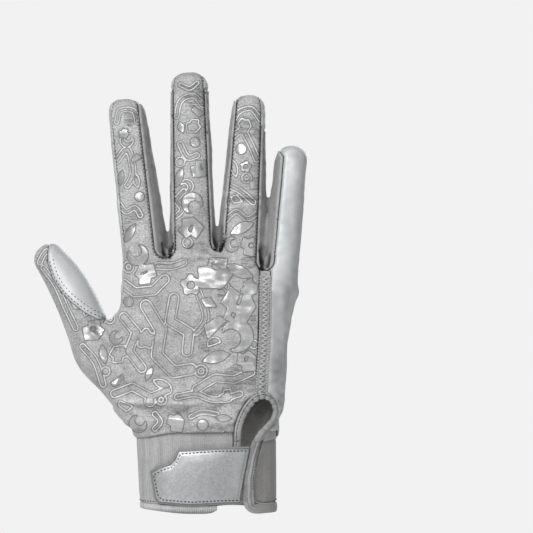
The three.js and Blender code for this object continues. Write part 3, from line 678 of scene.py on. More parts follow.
FOLDS = [
    # from x, z to x, z, then width and height: creases below 0, swells above 0; on the back
    # the wrist: a crease across, a soft roll below it and a tuck over the cuff
    (-50, 57.5, -24, 55.4, 1, -0.85), (-17, 54.8, 15, 58, 1, -0.75), (-38, 54.2, -12, 52.6, 0.9, -0.5),
    (-48, 60.2, -22, 58.6, 1.7, 1.2), (-20, 58, 14, 61, 1.6, 1), (-42, 49.6, 14, 50.4, 3.6, 1.1),
    (-40, 44, 18, 46.4, 1, -0.6), (-41, 53, -37, 45, 1.3, -0.7), (-28, 53, -26, 45, 1, -0.5),
    (-11, 54, -9, 46, 1.1, -0.55), (4, 55, 7, 47, 1.2, -0.6), (-4, 62, 18, 66, 1.2, -0.7),
    (-8, 67, 20, 70.5, 2, 0.6),
    # the fingers' joints
    (10.5, 166, 25, 166.6, 0.9, -1), (10, 169.4, 27, 169.9, 1.5, 1.5),
    (11, 162.6, 26, 163.2, 1.7, 1.2), (-12, 136.8, 2, 135.2, 1.2, 1.2),
    (-10, 139.8, -2, 139, 0.9, -0.6), (-4, 134, 9, 132.9, 0.9, -0.8), (-19, 140.5, 0, 142, 0.9, -0.6),
    (-50, 150, -36, 152, 1, -0.6), (-50, 154, -36, 155.5, 1.8, 0.4), (-51, 168, -38, 166, 0.9, -0.4),
    (-51, 190, -38, 191, 0.9, -0.35), (-19, 166, -3, 165, 1, -0.45), (-18, 192, -4, 193, 0.9, -0.4),
    (-18, 211, -4, 210, 0.9, -0.35), (10, 190, 28, 191, 0.9, -0.35),
    # the crotches' bunched cloth
    (-24, 143.5, -22.9, 136.5, 0.6, -2.5), (-19.9, 143, -20.6, 136.5, 0.6, -2.3),
    (-21.8, 141, -21.8, 135, 0.5, 1), (3.4, 148, 4.2, 140.5, 0.65, -2.5),
    (7.2, 147, 6.6, 140.5, 0.65, -2.3), (5.4, 145, 5.4, 139, 0.5, 1),
    (28.2, 138.5, 29.1, 130.5, 0.7, -2.5), (32.2, 137, 31.3, 131, 0.6, -2.2),
    (30.2, 135.5, 30.2, 129, 0.5, 1), (-21.4, 146, -21.8, 136, 2.4, -1.2),
    (5.6, 150, 5.4, 140, 2.2, -1.2), (29.4, 141, 29.8, 131, 2.4, -1.2),
    (-26, 133, -17, 131.6, 0.9, -0.6), (0, 137.5, 10, 136, 0.9, -0.6),
    # slack between the thumb and the hand, and across the back
    (-62, 98, -50, 86, 1.4, -0.9), (-58, 101, -48, 92, 1.9, 0.7), (-54, 79, -42, 66, 1.3, -0.7),
    (-57, 84, -45, 71, 2.2, 0.6), (-66, 108, -58, 97, 1.1, -0.5), (-12, 88, 22, 99, 2.8, 0.6),
    (-8, 83, 23, 92, 1.3, -0.5), (-6, 75, 23, 80, 2.4, 0.6), (-30, 66, -6, 72, 2.2, 0.5),
    (-34, 70.5, -10, 77, 1.1, -0.45), (-36, 92, -24, 84, 1.5, -0.3),
]
PALM_FOLDS = [
    # the same on the palm: soft bends at the fingers' joints
    (-52, 157, -34, 159, 2.4, -0.55), (-50, 152, -36, 153, 2.6, 0.4), (-52, 184, -38, 184, 2, -0.3),
    (-20, 166, 0, 166, 2.4, -0.5), (-20, 196, -2, 196, 2, -0.3), (6, 162, 32, 163, 2.4, -0.5),
    (8, 190, 30, 190, 2, -0.3), (30, 150, 50, 152, 2.2, -0.45),
    # slack below the index finger and in the fold of the thumb
    (-40, 136, -31, 114, 3.4, -0.6), (-46, 131, -39, 112, 3, 0.5), (-33, 136, -24, 120, 2.2, 0.5),
    (-54, 98, -30, 84, 3.2, -0.75), (-50, 103, -34, 92, 2.4, 0.6), (-60, 96, -44, 80, 2.4, 0.8),
    (-30, 60, 30, 64, 3.5, 0.3),
]


def relief(verts):
    """How far the cloth stands off the smooth form: folds, swells and slack."""
    x, y, z = verts.T
    height = np.zeros(len(verts))
    for rows, side in ((FOLDS, -1), (PALM_FOLDS, 1)):
        facing = smoothstep(-1.5, 5.0, side * (y - curl(z)))
        swing, turns = (0.9, 0.31) if side < 0 else (1.8, 0.085)
        for ax, az, bx, bz, width, rise in rows:
            bend = swing * np.sin((x + z) * turns + ax)
            near = line_distance([(ax, az), (bx, bz)], x, z + bend)
            height += facing * rise * bell(near, 0, width)
    cloth = smoothstep(4, -4, y - curl(z))
    broad, fine = ripple(x, y, z, 17, 3), ripple(x, y, z, 7, 5)
    height += (0.08 + 0.17 * cloth) * broad + (0.015 + 0.12 * cloth) * fine
    # beside the little finger's seam the leather falls away towards the edge of the hand
    height -= 0.5 * bell(y - curl(z), -10, 7) * smoothstep(29, 42, x) * smoothstep(132, 108, z)
    slack = bell(z, 60, 15) * cloth
    height += slack * 0.3 * ripple(x * 0.5, y, z * 1.8, 9, 8)
    return height


def panel_fields(verts, gap):
    """Each panel's field, below 0 inside it, on points of the skin."""
    x, y, z = verts.T
    half = gap / 2
    middle = y - curl(z)
    back = np.maximum(signed_distance(back_outline(0), x, z), middle)
    thumb = np.maximum(signed_distance(thumb_outline(0), x, z), y - thumb_seam_y(z))
    back = np.minimum(back, thumb)
    palm = np.maximum(signed_distance(palm_outline(0), x, z), -middle)
    strips = [signed_distance(strip_outline(i, 0), x, z) for i in range(3)]
    tape = np.maximum(signed_distance(tape_outline(0), x, z), y)
    patch = np.maximum(signed_distance(patch_outline(0), x, z), -y)
    slit = slit_field(x, y, z)
    foot = np.where(y < 0, hem_line(x), WRIST_SEAM) - z
    bound = np.maximum(-slit, foot)
    fields = {"back": np.maximum(back + half, bound)}
    all_strips = np.minimum.reduce(strips)
    for i in range(3):
        fields["strip%d" % i] = np.maximum.reduce([strips[i] + half, half - back, half - palm, bound])
    fields["tape"] = np.maximum.reduce([tape + half, half - back, bound])
    fields["patch"] = np.maximum.reduce([patch + half, half - back, bound])
    free = np.maximum(all_strips, -palm)
    fields["palm"] = np.maximum.reduce([half - back, half - free, half - tape, half - patch, bound])
    return fields


class Skin:
    """The glove's outer surface, kept for the pieces that lie on it."""

    verts = tris = height = normals = tree = None


def lay_skin(sizes):
    verts, tris = make_skin(sizes.fineness)
    normals = vertex_normals(verts, tris)
    Skin.height = relief(verts)
    verts = verts + normals * Skin.height[:, None]
    Skin.verts, Skin.tris = verts, tris
    Skin.normals = vertex_normals(verts, tris)
    Skin.tree = BVHTree.FromPolygons((verts * MM).tolist(), tris.tolist(), epsilon=0)


def on_skin(x, z, lift=0.0, side=-1):
    """The place and the outward normal on the skin, seen from the back or from the palm."""
    hit, normal, _, _ = Skin.tree.ray_cast(Vector((x * MM, side * 0.2, z * MM)), Vector((0, -side, 0)))
    if hit is None or abs(normal[1]) < 0.3:
        return None
    place = np.array(hit) / MM
    normal = np.array(normal)
    if normal[1] * side < 0:
        normal = -normal
    return place + normal * lift, normal


def panel(name, field, sizes, material, ridge=0.0, valley=None):
    """One sewn panel. Its mesh keeps the folds' height and the distance to its rim, in millimetres."""
    near = field < 2.0
    keep = near[Skin.tris].any(axis=1)
    used, tris = np.unique(Skin.tris[keep], return_inverse=True)
    spread = np.column_stack([Skin.verts, Skin.height])[used]
    cut, tris = main_island(*weld(*clip(spread, tris.reshape(-1, 3), field[used])))
    verts, height = cut[:, :3], cut[:, 3]
    distance = rim_distance(verts, tris)
    depth = sizes.seam_depth / MM if valley is None else valley
    if name == "back_cloth":
        # the cloth lies flat under the side tape's stitches
        depth = depth * (1 - 0.8 * smoothstep(20, 24, verts[:, 0]) * smoothstep(130, 126, verts[:, 2]))
    fall = depth * np.clip(1 - distance / 2.2, 0, 1) ** 2
    rise = ridge * bell(distance, 0.9, 0.6)
    verts = verts + vertex_normals(verts, tris) * (rise - fall)[:, None]
    obj = new_object(name, verts, tris, material)
    store(obj, "fold", height)
    store(obj, "rim", distance)
    return obj, verts


# Finishes
class Finish:
    """A procedural material made of nodes on object coordinates."""

    def __init__(self, name, **sockets):
        self.material = bpy.data.materials.new(name)
        self.material.use_nodes = True
        self.tree = self.material.node_tree
        self.shader = self.tree.nodes["Principled BSDF"]
        self.place = self.tree.nodes.new("ShaderNodeTexCoord").outputs["Object"]
        for key, value in sockets.items():
            self.shader.inputs[key.replace("_", " ")].default_value = value

    def node(self, kind, inputs, output=0, **settings):
        made = self.tree.nodes.new("ShaderNode" + kind)
        for key, value in settings.items():
            setattr(made, key, value)
        for key, value in inputs.items():
            socket = made.inputs[key]
            if isinstance(value, bpy.types.NodeSocket):
                self.tree.links.new(value, socket)
            else:
                socket.default_value = value
        return made.outputs[output]

    def math(self, operation, a, b=0.0, c=0.0):
        return self.node("Math", {0: a, 1: b, 2: c}, operation=operation)

    def product(self, first, *others):
        for value in others:
            first = self.math("MULTIPLY", first, value)
        return first

    def noise(self, size, stretch=(1, 1, 1), detail=2.0, rough=0.5):
        """Noise whose grains are about size millimetres."""
        place = self.node("Mapping", {"Vector": self.place, "Scale": tuple(1 / v for v in stretch)})
        inputs = {"Vector": place, "Scale": 1 / (size * MM), "Detail": detail, "Roughness": rough}
        return self.node("TexNoise", inputs)

    def field(self, name):
        """A number stored on the mesh."""
        return self.node("Attribute", {}, "Fac", attribute_name=name)

    def part(self, axis):
        """One coordinate of the place, in metres."""
        return self.node("SeparateXYZ", {0: self.place}, axis)

    def ramp(self, value, low, high, to_low=0.0, to_high=1.0):
        inputs = {0: value, 1: low, 2: high, 3: to_low, 4: to_high}
        return self.node("MapRange", inputs, interpolation_type="SMOOTHSTEP")

    def tones(self, *rows):
        """The product of ramps, a row for each."""
        return self.product(*(self.ramp(*row) for row in rows))

    def mix(self, share, a, b):
        a, b = ((*color, 1) if isinstance(color, tuple) else color for color in (a, b))
        return self.node("Mix", {0: share, 6: a, 7: b}, 2, data_type="RGBA")

    def shade(self, factor, color):
        """The colour times a value, which may be above 1."""
        return self.node("VectorMath", {0: color, 3: factor}, operation="SCALE")

    def blend(self, share, a, b):
        """From the number a to the number b."""
        return self.node("MapRange", {0: share, 3: a, 4: b})

    def painted_fold_shading(self):
        """Painted shade in the folds' creases and painted highlight on their swells: darker in the
        creases, lighter on the swells.
        """
        fold = self.field("fold")
        return self.tones((fold, -2.3, 0.0, 0.12, 1.0), (fold, 0.1, 1.4, 1.0, 1.24))

    def bump(self, height, depth, strength=1.0, below=None):
        """A bump of depth millimetres where height runs from 0 to 1."""
        inputs = {"Height": height, "Distance": depth * MM, "Strength": strength}
        if below is not None:
            inputs["Normal"] = below
        return self.node("Bump", inputs)

    def wear(self, color, roughness, normal=None, metallic=None):
        """Links what is given to the shader."""
        values = {"Base Color": color, "Roughness": roughness, "Normal": normal, "Metallic": metallic}
        for key, value in values.items():
            if value is not None:
                self.tree.links.new(value, self.shader.inputs[key])


def gray(v, warm=0.0):
    return (v * (1 + warm), v, v * (1 - warm))


def times(color, k):
    return tuple(v * k for v in color)


FINISHES = {}
SHEEN = {"Sheen_Weight": 0.1, "Sheen_Roughness": 0.5}
# from one rib of the cuff's knit to the next
RIB_PITCH = 1.15


def start(name, **sockets):
    finish = Finish(name, **sockets)
    FINISHES[name] = finish.material
    return finish


def make_heather_fabric(cloth, film):
    """Heather knit with a glossy film print, embossed lines and darker streaked patches, with painted
    light and shade on its folds, seams and lines.
    """
    f = start("heather_fabric", **SHEEN)
    grain = f.noise(0.72, (1.2, 1, 0.9), 2.0, 0.6)
    flecks = f.noise(1.0, (4.0, 1, 0.55))
    broad = f.noise(12)
    streaks = f.ramp(f.noise(1.1, (6.0, 1, 0.6)), 0.35, 0.65, 0.5, 0.96)
    # painted light: lighter towards the fingertips and at the index finger, where the key light falls,
    # and a painted highlight on a band in the wrist's tuck
    up, side = f.part("Z"), f.part("X")
    tone = f.tones(
        (grain, 0.28, 0.72, 0.7, 1.3),
        (flecks, 0.3, 0.7, 0.9, 1.1),
        (broad, 0.3, 0.7, 0.84, 1.12),
        (up, 0.08, 0.19, 0.96, 1.04),
        (side, -0.02, -0.05, 1.0, 1.06),
        (up, 0.050, 0.056, 1.0, 1.14),
        (up, 0.063, 0.07, 1.0, 0.88),
    )
    tone = f.product(tone, f.blend(f.ramp(f.field("dark"), 0.5, -0.5), 1.0, streaks))
    # the print's fields are distances in millimetres, below 0 on the film
    edge, line = f.field("film"), f.math("ABSOLUTE", f.field("emboss"))
    print_on, clear = f.ramp(edge, 0.08, -0.08), f.ramp(edge, 0.3, 0.55)
    outline = f.tones((edge, -0.15, 0.05), (edge, 0.75, 0.35))
    # a dark outline around the film, and painted shade beside the raised lines
    beside = f.tones((line, 0.26, 0.44), (line, 1.05, 0.65))
    outline_and_painted_shade = f.math("MAXIMUM", outline, f.product(beside, clear))
    # painted highlight on the raised lines, broken up at random
    painted_highlight_line = f.product(f.ramp(line, 0.42, 0.2), clear)
    highlight_breaks = f.ramp(f.noise(9, detail=1.0), 0.35, 0.65, 0.3, 0.9)
    color = f.mix(f.product(outline_and_painted_shade, 0.64), f.shade(tone, cloth), times(cloth, 0.25))
    # the painted highlight's colour on the raised lines
    color = f.mix(f.product(painted_highlight_line, highlight_breaks), color, gray(0.82))
    film_grain = f.noise(0.8, rough=0.7)
    film_tone = f.tones((film_grain, 0.3, 0.7, 0.9, 1.1), (broad, 0.3, 0.7, 0.96, 1.12))
    color = f.mix(print_on, color, f.shade(film_tone, film))
    # painted shade in the folds' creases and along the seams, painted highlight on the folds' swells
    color = f.shade(f.product(f.painted_fold_shading(), f.ramp(f.field("rim"), 0.05, 0.45, 0.55, 1.0)), color)
    rough = f.math("ADD", f.product(print_on, -0.47), f.ramp(painted_highlight_line, 0, 1, 0.78, 0.45))
    pulls, weave = f.noise(1.5, (7.0, 1, 0.7)), f.ramp(print_on, 0, 1, 1.0, 0.15)
    normal = f.bump(f.product(pulls, f.ramp(print_on, 0, 1, 1.0, 0.1)), 0.34, 0.8)
    normal = f.bump(f.product(grain, weave), 0.34, 0.9, normal)
    raised = f.math("ADD", f.ramp(edge, 0.25, -0.2), f.product(f.ramp(line, 0.5, 0.0), clear, 1.4))
    normal = f.bump(raised, 0.25, 1.0, normal)
    waves = f.noise(13.0, (1.4, 1, 0.8), 1.0)
    f.wear(color, rough, f.bump(waves, 2.6, 0.95, normal), f.product(print_on, 0.45))


def make_pearl_silver(leather):
    """Coated leather. The palm's grip coat shines more than the leather of the sides."""
    f = start("pearl_silver", Metallic=0.3)
    speck = f.noise(0.75, detail=3.0, rough=0.75)
    cloud, palm = f.noise(22, (1, 1, 1.6)), f.field("palm")
    tone = f.tones(
        (speck, 0.25, 0.75, 0.93, 1.07),
        (cloud, 0.3, 0.7, 0.94, 1.06),
        # painted shade along the seams
        (f.field("rim"), 0.05, 0.4, 0.6, 1.0),
    )
    rough = f.math("ADD", f.ramp(speck, 0.3, 0.7, 0.47, 0.57), f.product(palm, -0.24))
    normal = f.bump(f.noise(7.0, (1, 1, 2.2), 1.0), 0.12, 0.4, f.bump(speck, 0.06, 0.7))
    normal = f.bump(f.product(f.noise(16.0, (1, 1, 2.6), 1.0), palm), 1.6, 0.8, normal)
    # with painted shade in the folds' creases and painted highlight on their swells
    f.wear(f.shade(f.product(tone, f.painted_fold_shading()), leather), rough, normal)


def make_plain_fabrics(colors, cloth):
    plain = {
        # name: (colour, grain, stretch, depth, roughness, a sewn panel)
        "side_fabric": (tuple(colors.gusset), 0.7, (1, 1, 1.4), 0.14, 0.6, True),
        "patch_fabric": (times(cloth, 0.95), 0.8, (1, 1, 1), 0.25, 0.7, True),
        "seam_tape_fabric": (times(cloth, 0.62), 0.7, (1, 1, 1.5), 0.3, 0.75, True),
        "binding_tape": (tuple(colors.binding), 0.7, (1, 1, 1.6), 0.16, 0.7, False),
        "strap_fabric": (times(cloth, 0.6), 0.7, (2, 1, 1), 0.15, 0.75, False),
        "hook_fastener": (gray(0.08), 0.5, (1, 1, 1), 0.5, 0.8, False),
        "lining": (tuple(colors.lining), 0.7, (6, 6, 1), 0.25, 0.9, False),
        "gore_fabric": (tuple(colors.gore), 0.7, (1, 1, 1.5), 0.12, 0.75, False),
        "thread": (tuple(colors.thread), 0.3, (1, 1, 1), 0.05, 0.6, False),
        "thread_light": (times(cloth, 1.12), 0.3, (1, 1, 1), 0.05, 0.5, False),
    }
    for name, (color, size, stretch, depth, roughness, sewn) in plain.items():
        f = start(name, **SHEEN)
        grain = f.noise(size, stretch, 3.0, 0.7)
        tone = f.tones((grain, 0.25, 0.75, 0.84, 1.16), (f.noise(9, detail=1.0), 0.3, 0.7, 0.94, 1.06))
        if name == "lining":
            # painted light and shade inside the glove: lighter low down, darker higher up
            tone = f.product(tone, f.ramp(f.part("Z"), 0.066, 0.036, 0.8, 1.6))
        if sewn:
            # painted shade right at the seam, a painted highlight on the lip beside it, and the folds'
            # painted shading
            rim = f.field("rim")
            seam_shade_and_highlight = f.tones((rim, 0.05, 0.4, 0.5, 1.5), (rim, 0.9, 2.0, 1.0, 0.67))
            tone = f.product(tone, f.painted_fold_shading(), seam_shade_and_highlight)
        rough = f.ramp(grain, 0.2, 0.8, roughness - 0.06, roughness + 0.08)
        f.wear(f.shade(tone, color), rough, f.bump(grain, depth, 0.8))


def make_ribbed_knits(cloth):
    """The cuff and its hem. Their ribs follow the distance around the cuff."""
    for name, color, depth, low in (
        ("cuff_knit", times(cloth, 1.03), 0.14, 0.93),
        ("hem_rib", times(cloth, 1.22), 0.3, 0.66),
    ):
        f = start(name, **SHEEN)
        grain = f.noise(0.75, (1, 1, 1.3), 3.0, 0.7)
        rib = f.math("SINE", f.product(f.field("around"), 2 * math.pi / RIB_PITCH))
        rib = f.math("MULTIPLY_ADD", rib, 0.5, 0.5)
        shades = [
            (grain, 0.25, 0.75, 0.82, 1.16),
            (f.noise(4.0, (1, 1, 5)), 0.3, 0.7, 0.92, 1.05),
            # painted shade along the edges
            (f.field("rim"), 0.1, 0.5, 0.6, 1.0),
        ]
        if name == "hem_rib":
            # its ribs fade upwards, and its lower edge is in shade
            rib = f.math("MAXIMUM", rib, f.ramp(f.part("Z"), 0.0018, 0.0034))
            shades.append((f.part("Z"), 0.0004, 0.0026, 0.5, 1.0))
        # with painted shade in the folds' hollows and painted highlight on their swells
        tone = f.product(f.tones(*shades, (rib, 0, 1, low, 1.06)), f.painted_fold_shading())
        normal = f.bump(rib, depth, 0.7, f.bump(grain, 0.2, 0.7))
        f.wear(f.shade(tone, color), f.ramp(grain, 0.2, 0.8, 0.7, 0.85), normal)


def make_strap_silver(leather):
    """Matt silver cover of the strap, with painted light: lighter on its left, darker towards its end
    at the slit, and painted shade along its rim.
    """
    f = start("strap_silver", Metallic=0.66)
    speck = f.noise(0.8, detail=3.0, rough=0.75)
    tone = f.tones(
        (speck, 0.25, 0.75, 0.84, 1.14),
        (f.noise(3.2), 0.3, 0.7, 0.95, 1.05),
        # painted shade along the rim, and painted light from lighter on the left to darker at the
        # slit's end
        (f.field("rim"), 0.1, 0.55, 0.4, 1.0),
        (f.part("X"), -0.026, 0.018, 1.13, 0.82),
    )
    rough = f.ramp(speck, 0.3, 0.7, 0.31, 0.41)
    f.wear(f.shade(tone, times(leather, 0.86)), rough, f.bump(speck, 0.08, 0.7))


def make_finishes(colors):
    cloth, film, leather = (tuple(color) for color in (colors.cloth, colors.film, colors.leather))
    make_heather_fabric(cloth, film)
    make_pearl_silver(leather)
    make_plain_fabrics(colors, cloth)
    make_ribbed_knits(cloth)
    make_strap_silver(leather)


def store(obj, name, values):
    data = obj.data.attributes.new(name, "FLOAT", "POINT")
    data.data.foreach_set("value", np.asarray(values, np.float32))


# The print: a design of plain shapes
def arc(start, end, step, radius=1.0, across=0.0):
    turns = np.radians(np.arange(start, end, step))
    return [(across + radius * math.cos(a), radius * math.sin(a)) for a in turns]


SHAPES = {
    "slab": [
        (-1, -0.7), (0.25, -1), (1, -0.35), (0.7, 0.15), (0.9, 0.65), (-0.1, 0.9), (-0.3, 0.45),
        (-0.9, 0.5)
    ],
    "petal": [
        (-1, 0), (-0.5, 0.34), (0, 0.44), (0.5, 0.34), (1, 0), (0.5, -0.26), (0, -0.34), (-0.5, -0.26)
    ],
    "crescent": arc(50, 311, 18) + arc(300, 59, -24, 0.66, 0.42),
    "kite": [(0, 1), (0.62, 0.15), (0, -1), (-0.62, 0.15)],
    "wedge": [(-1, -0.5), (1, -0.15), (0.85, 0.45), (-0.65, 0.55)],
    "cog": [
        (p[0] * r, p[1] * r) for k,
        p in enumerate(arc(0, 360, 18)) for r in ((1, 1, 0.76, 0.76)[k % 4],)
    ],
    "hex": arc(0, 360, 60),
    "disc": arc(0, 360, 20),
    "half": [(x, z - 0.4) for x, z in arc(0, 181, 15)],
    "bar": [(-1, -0.28), (1, -0.28), (1, 0.28), (-1, 0.28)],
}
FILM = {
    # shape: x, z, size and turn of each
    "slab": [
        (3.5, 127.5, 9, 12), (15.5, 110, 9.5, 72), (20.5, 80.5, 5.5, 100), (22, 119.5, 4.5, 40),
        (-33, 126.5, 5.6, 200), (-45, 202, 2.6, 10), (-9.5, 151, 6, 150), (-4.5, 183, 4.8, 20),
        (22, 141.5, 5, 85), (25.5, 175, 3.2, 10), (-61.5, 97, 5.6, 18), (-17, 48.5, 4.8, 90),
    ],
    "cog": [(-9, 121, 5.6, 12), (20, 184, 3, 0)],
    "petal": [
        (17, 128.5, 7.5, 155), (4.5, 82.5, 7.5, 15), (-31, 74, 3.8, 65), (-41.5, 148.5, 5.4, 60),
        (-46.5, 178, 4, 80), (-15.5, 178, 5.4, 70), (18, 151, 6.8, 25), (-55.5, 84, 5, 100),
        (8.5, 51, 4, 175),
    ],
    "crescent": [
        (15.5, 94, 8.5, 205), (-37.5, 137, 5.6, 120), (-8.5, 164.5, 5.6, 300), (12.5, 142.5, 3.8, 20),
        (-49, 93, 3.4, 40), (-37, 47.5, 4.6, 60),
    ],
    "wedge": [(3.5, 99, 6.5, 35), (-5.5, 213.5, 3.4, 140), (-48, 70, 3.8, 205)],
    "kite": [(0.5, 111.5, 4.5, 64), (-14.5, 205, 3.2, 20), (-70.5, 110, 3.6, 60)],
    "hex": [(-42.5, 112, 2.6, 5)],
    "disc": [(-36.5, 168, 2.4, 0), (-7, 197, 2.4, 0), (17.5, 193.5, 2.8, 0), (-2.5, 47.5, 2.7, 0)],
    "half": [(-38.5, 188.5, 2.7, 30), (26.5, 201, 2.6, 120), (-77, 122.5, 2.6, 110)],
}
HOLES = {
    # what is left out of the film
    "half": [(4, 130.5, 2.6, 150), (20.5, 82, 1.8, 60)],
    "bar": [(17, 113.5, 3.2, 70), (-34, 127.5, 2, 20), (-3.5, 184, 1.8, 110)],
    "kite": [(13.5, 105, 2.2, 20)],
    "disc": [(-9, 121, 2.2, 0), (23, 142, 1.5, 0), (20, 184, 1.3, 0)],
    "wedge": [(-9, 151, 2.2, 60)],
    "hex": [(-61.5, 97.5, 1.7, 0)],
}
DARK = {
    # darker streaked knit
    "slab": [
        (16, 70, 9.5, 172), (-1, 91, 5, 60), (-7, 222, 6, 40), (20, 205, 6, 120), (22, 134, 4.5, 10),
        (-42, 210, 4, 60),
    ],
    "wedge": [(7.5, 118.5, 4.5, 100), (24.5, 101.5, 3.5, 90), (-40, 156.5, 5, 10)],
    "petal": [(-66, 88, 6, 120)],
}
OUTLINES = [
    # half width, then the places that a ribbon runs through, in x and z
    (3, [(-33, 110), (-25, 97), (-27, 84), (-18, 75), (-9, 76.5)]),
    (2.6, [(-18, 114), (-20, 102), (-10, 96), (-11, 86)]),
    (2.3, [(-45, 104), (-38, 96), (-42, 86), (-35, 77)]),
    (2, [(-50, 63), (-40, 67), (-30, 62), (-21, 65.5)]), (2, [(-6, 66), (4, 72), (14, 71), (23, 75)]),
    (1.5, [(-16, 62), (-6, 63.5), (4, 60.5), (17, 63.5)]),
    (2.4, [(-46, 122), (-39, 117), (-29, 118), (-23, 124)]), (1.6, [(-5, 117), (-1, 104), (-6, 96)]),
    (1.7, [(-27, 131), (-19, 131), (-13, 133)]),
    (1.2, [(-48, 165), (-44, 160), (-39, 162), (-36, 158)]),
    (1.5, [(-49, 187), (-43, 193), (-40, 181), (-43, 174)]),
    (1.2, [(-49, 208), (-47, 214), (-40, 214), (-38, 208)]),
    (1.2, [(-18, 157), (-14, 161), (-17, 166), (-13, 171)]),
    (1.4, [(-15, 196), (-11, 189), (-6, 190)]), (1.2, [(-17, 211), (-15, 219), (-8, 222), (-3, 217)]),
    (1, [(-15, 228), (-10, 226), (-6, 229)]), (1.4, [(11, 174), (17, 171), (24, 165)]),
    (1.1, [(9, 155), (15, 160), (21, 156), (27, 160)]),
    (1.5, [(12, 199), (18, 203), (23, 195), (26, 188)]),
    (1.1, [(12, 206), (16, 213), (23, 215), (28, 209)]), (1.6, [(-56, 68), (-60, 80), (-67, 88)]),
    (1.4, [(-71, 98), (-76, 108), (-82, 121), (-89, 130)]),
    (1.3, [(-82, 134), (-87, 139), (-91, 133)]), (1.2, [(-28, 53), (-25, 49), (-28, 45)]),
    (1, [(-9, 51.5), (-3, 54), (5, 53)]),
]
LINED = {
    # shapes drawn by their outline alone
    "cog": [(-33, 92.5, 5.4, 5)],
    "slab": [(-47.5, 84, 4.6, 200), (-8, 206, 3.6, 10), (19, 206, 3.6, 70), (10, 62.5, 3.4, 20)],
    "petal": [(-24, 69, 5, 160), (-38, 176.5, 3.6, 100), (14, 183, 4.2, 100), (-81, 129, 4, 130)],
    "half": [(3, 91, 3.4, 20), (-64, 107.5, 3.2, 40)],
    "disc": [
        (-30.5, 59.5, 2.6, 0), (-15, 186.5, 2.3, 0), (-54.5, 75, 2.2, 0), (24.5, 89.5, 2, 0),
        (-11, 143.5, 2.4, 0),
    ],
    "crescent": [(-43.5, 198, 3.4, 60), (-11.5, 173.5, 3.4, 200)],
    "kite": [(15, 166.5, 3.2, 70), (9.5, 120, 2.8, 10)],
    "wedge": [(-44, 57, 3.6, 150)],
}
RINGS = [
    # x, z, outer and inner radius
    (-3.5, 75.5, 3.2, 1.5), (-42.5, 130.5, 2.9, 1.2), (20.5, 178.0, 2.6, 1.0),
    (-52.5, 103.0, 2.7, 1.1), (-24.5, 60.5, 2.9, 1.2),
]


def rounded_path(points, steps=8):
    """A smooth line through a few places."""
    p = np.array([points[0], *points, points[-1]], float)
    line = []
    for i in range(1, len(p) - 2):
        a, b, c, d = p[i - 1 : i + 3]
        for t in np.arange(steps) / steps:
            square, cube = (2 * a - 5 * b + 4 * c - d) * t**2, (3 * b - a - 3 * c + d) * t**3
            line.append(0.5 * (2 * b + (c - a) * t + square + cube))
    return np.array([*line, p[-2]])


def shapes_field(rows, x, z, rounding):
    """Distance to the nearest of the shapes, below 0 inside them."""
    total = np.full(len(x), 9.0)
    for shape, places in rows.items():
        for cx, cz, size, turn in places:
            near = np.hypot(x - cx, z - cz) < 1.5 * size + 6
            c, s = math.cos(math.radians(turn)), math.sin(math.radians(turn))
            outline = np.array(SHAPES[shape]) * size @ np.array([(c, s), (-s, c)]) + (cx, cz)
            distance = signed_distance(outline, x[near], z[near]) - rounding
            total[near] = np.minimum(total[near], distance)
    return total


def print_fields(verts):
    """The print as three fields in x and z: film, embossed lines (0 on the line) and darker knit."""
    x, _, z = verts.T
    film = np.maximum(shapes_field(FILM, x, z, 0.1), -shapes_field(HOLES, x, z, 0.1))
    emboss = shapes_field(LINED, x, z, 0.2)
    for half, points in OUTLINES:
        path = np.array(points, float) if half > 1.8 else rounded_path(points)
        low, high = path.min(axis=0) - 8, path.max(axis=0) + 8
        near = (x > low[0]) & (x < high[0]) & (z > low[1]) & (z < high[1])
        emboss[near] = np.minimum(emboss[near], line_distance(path, x[near], z[near]) - half)
    for cx, cz, outer, inner in RINGS:
        r = np.hypot(x - cx, z - cz)
        emboss = np.minimum(emboss, np.maximum(r - outer, inner - r))
    return {"film": film, "emboss": emboss, "dark": shapes_field(DARK, x, z, 0.3)}


# The pieces
def keep(obj, slot, *nodes):
    """A finished piece rides on the glove and stands for its nodes, which are hidden."""
    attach(obj, "root")
    if nodes:
        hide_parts(*nodes)
    return obj


def finish_panel(obj, sizes, slot, *nodes, wall=None):
    obj.data.materials.append(FINISHES["lining"])
    solidify(obj, sizes.wall / MM if wall is None else wall, inner_material=1)
    smooth(obj)
    return keep(obj, slot, *nodes)


# between two panels, and between the cuff's pieces and what they meet
SEAM_GAP, CUFF_GAP = 0.12, 0.06


def make_panels(sizes):
    fields = panel_fields(Skin.verts, SEAM_GAP)
    obj, verts = panel("back_cloth", fields["back"], sizes, FINISHES["heather_fabric"])
    for name, values in print_fields(verts).items():
        store(obj, name, values)
    finish_panel(obj, sizes, "heather_fabric", "back_panel")
    obj, verts = panel("palm_leather", fields["palm"], sizes, FINISHES["pearl_silver"])
    # the thumb stands further forward than the hand
    facing = verts[:, 1] - curl(verts[:, 2]) - 8 * smoothstep(-44, -54, verts[:, 0])
    store(obj, "palm", smoothstep(3, 9, facing))
    finish_panel(obj, sizes, "pearl_silver", "palm_panel")
    for i, gap in enumerate(("index_middle", "middle_ring", "ring_little")):
        field, cloth = fields["strip%d" % i], FINISHES["side_fabric"]
        obj, _ = panel("gusset_" + gap, field, sizes, cloth, ridge=0.35, valley=0.45)
        finish_panel(obj, sizes, "side_fabric", "side_strip_" + gap)
    obj, _ = panel("crotch_patch", fields["patch"], sizes, FINISHES["patch_fabric"])
    finish_panel(obj, sizes, "patch_fabric", "web_patch")
    obj, _ = panel("side_tape", fields["tape"], sizes, FINISHES["seam_tape_fabric"], valley=-0.1)
    finish_panel(obj, sizes, "seam_tape_fabric", "seam_tape")


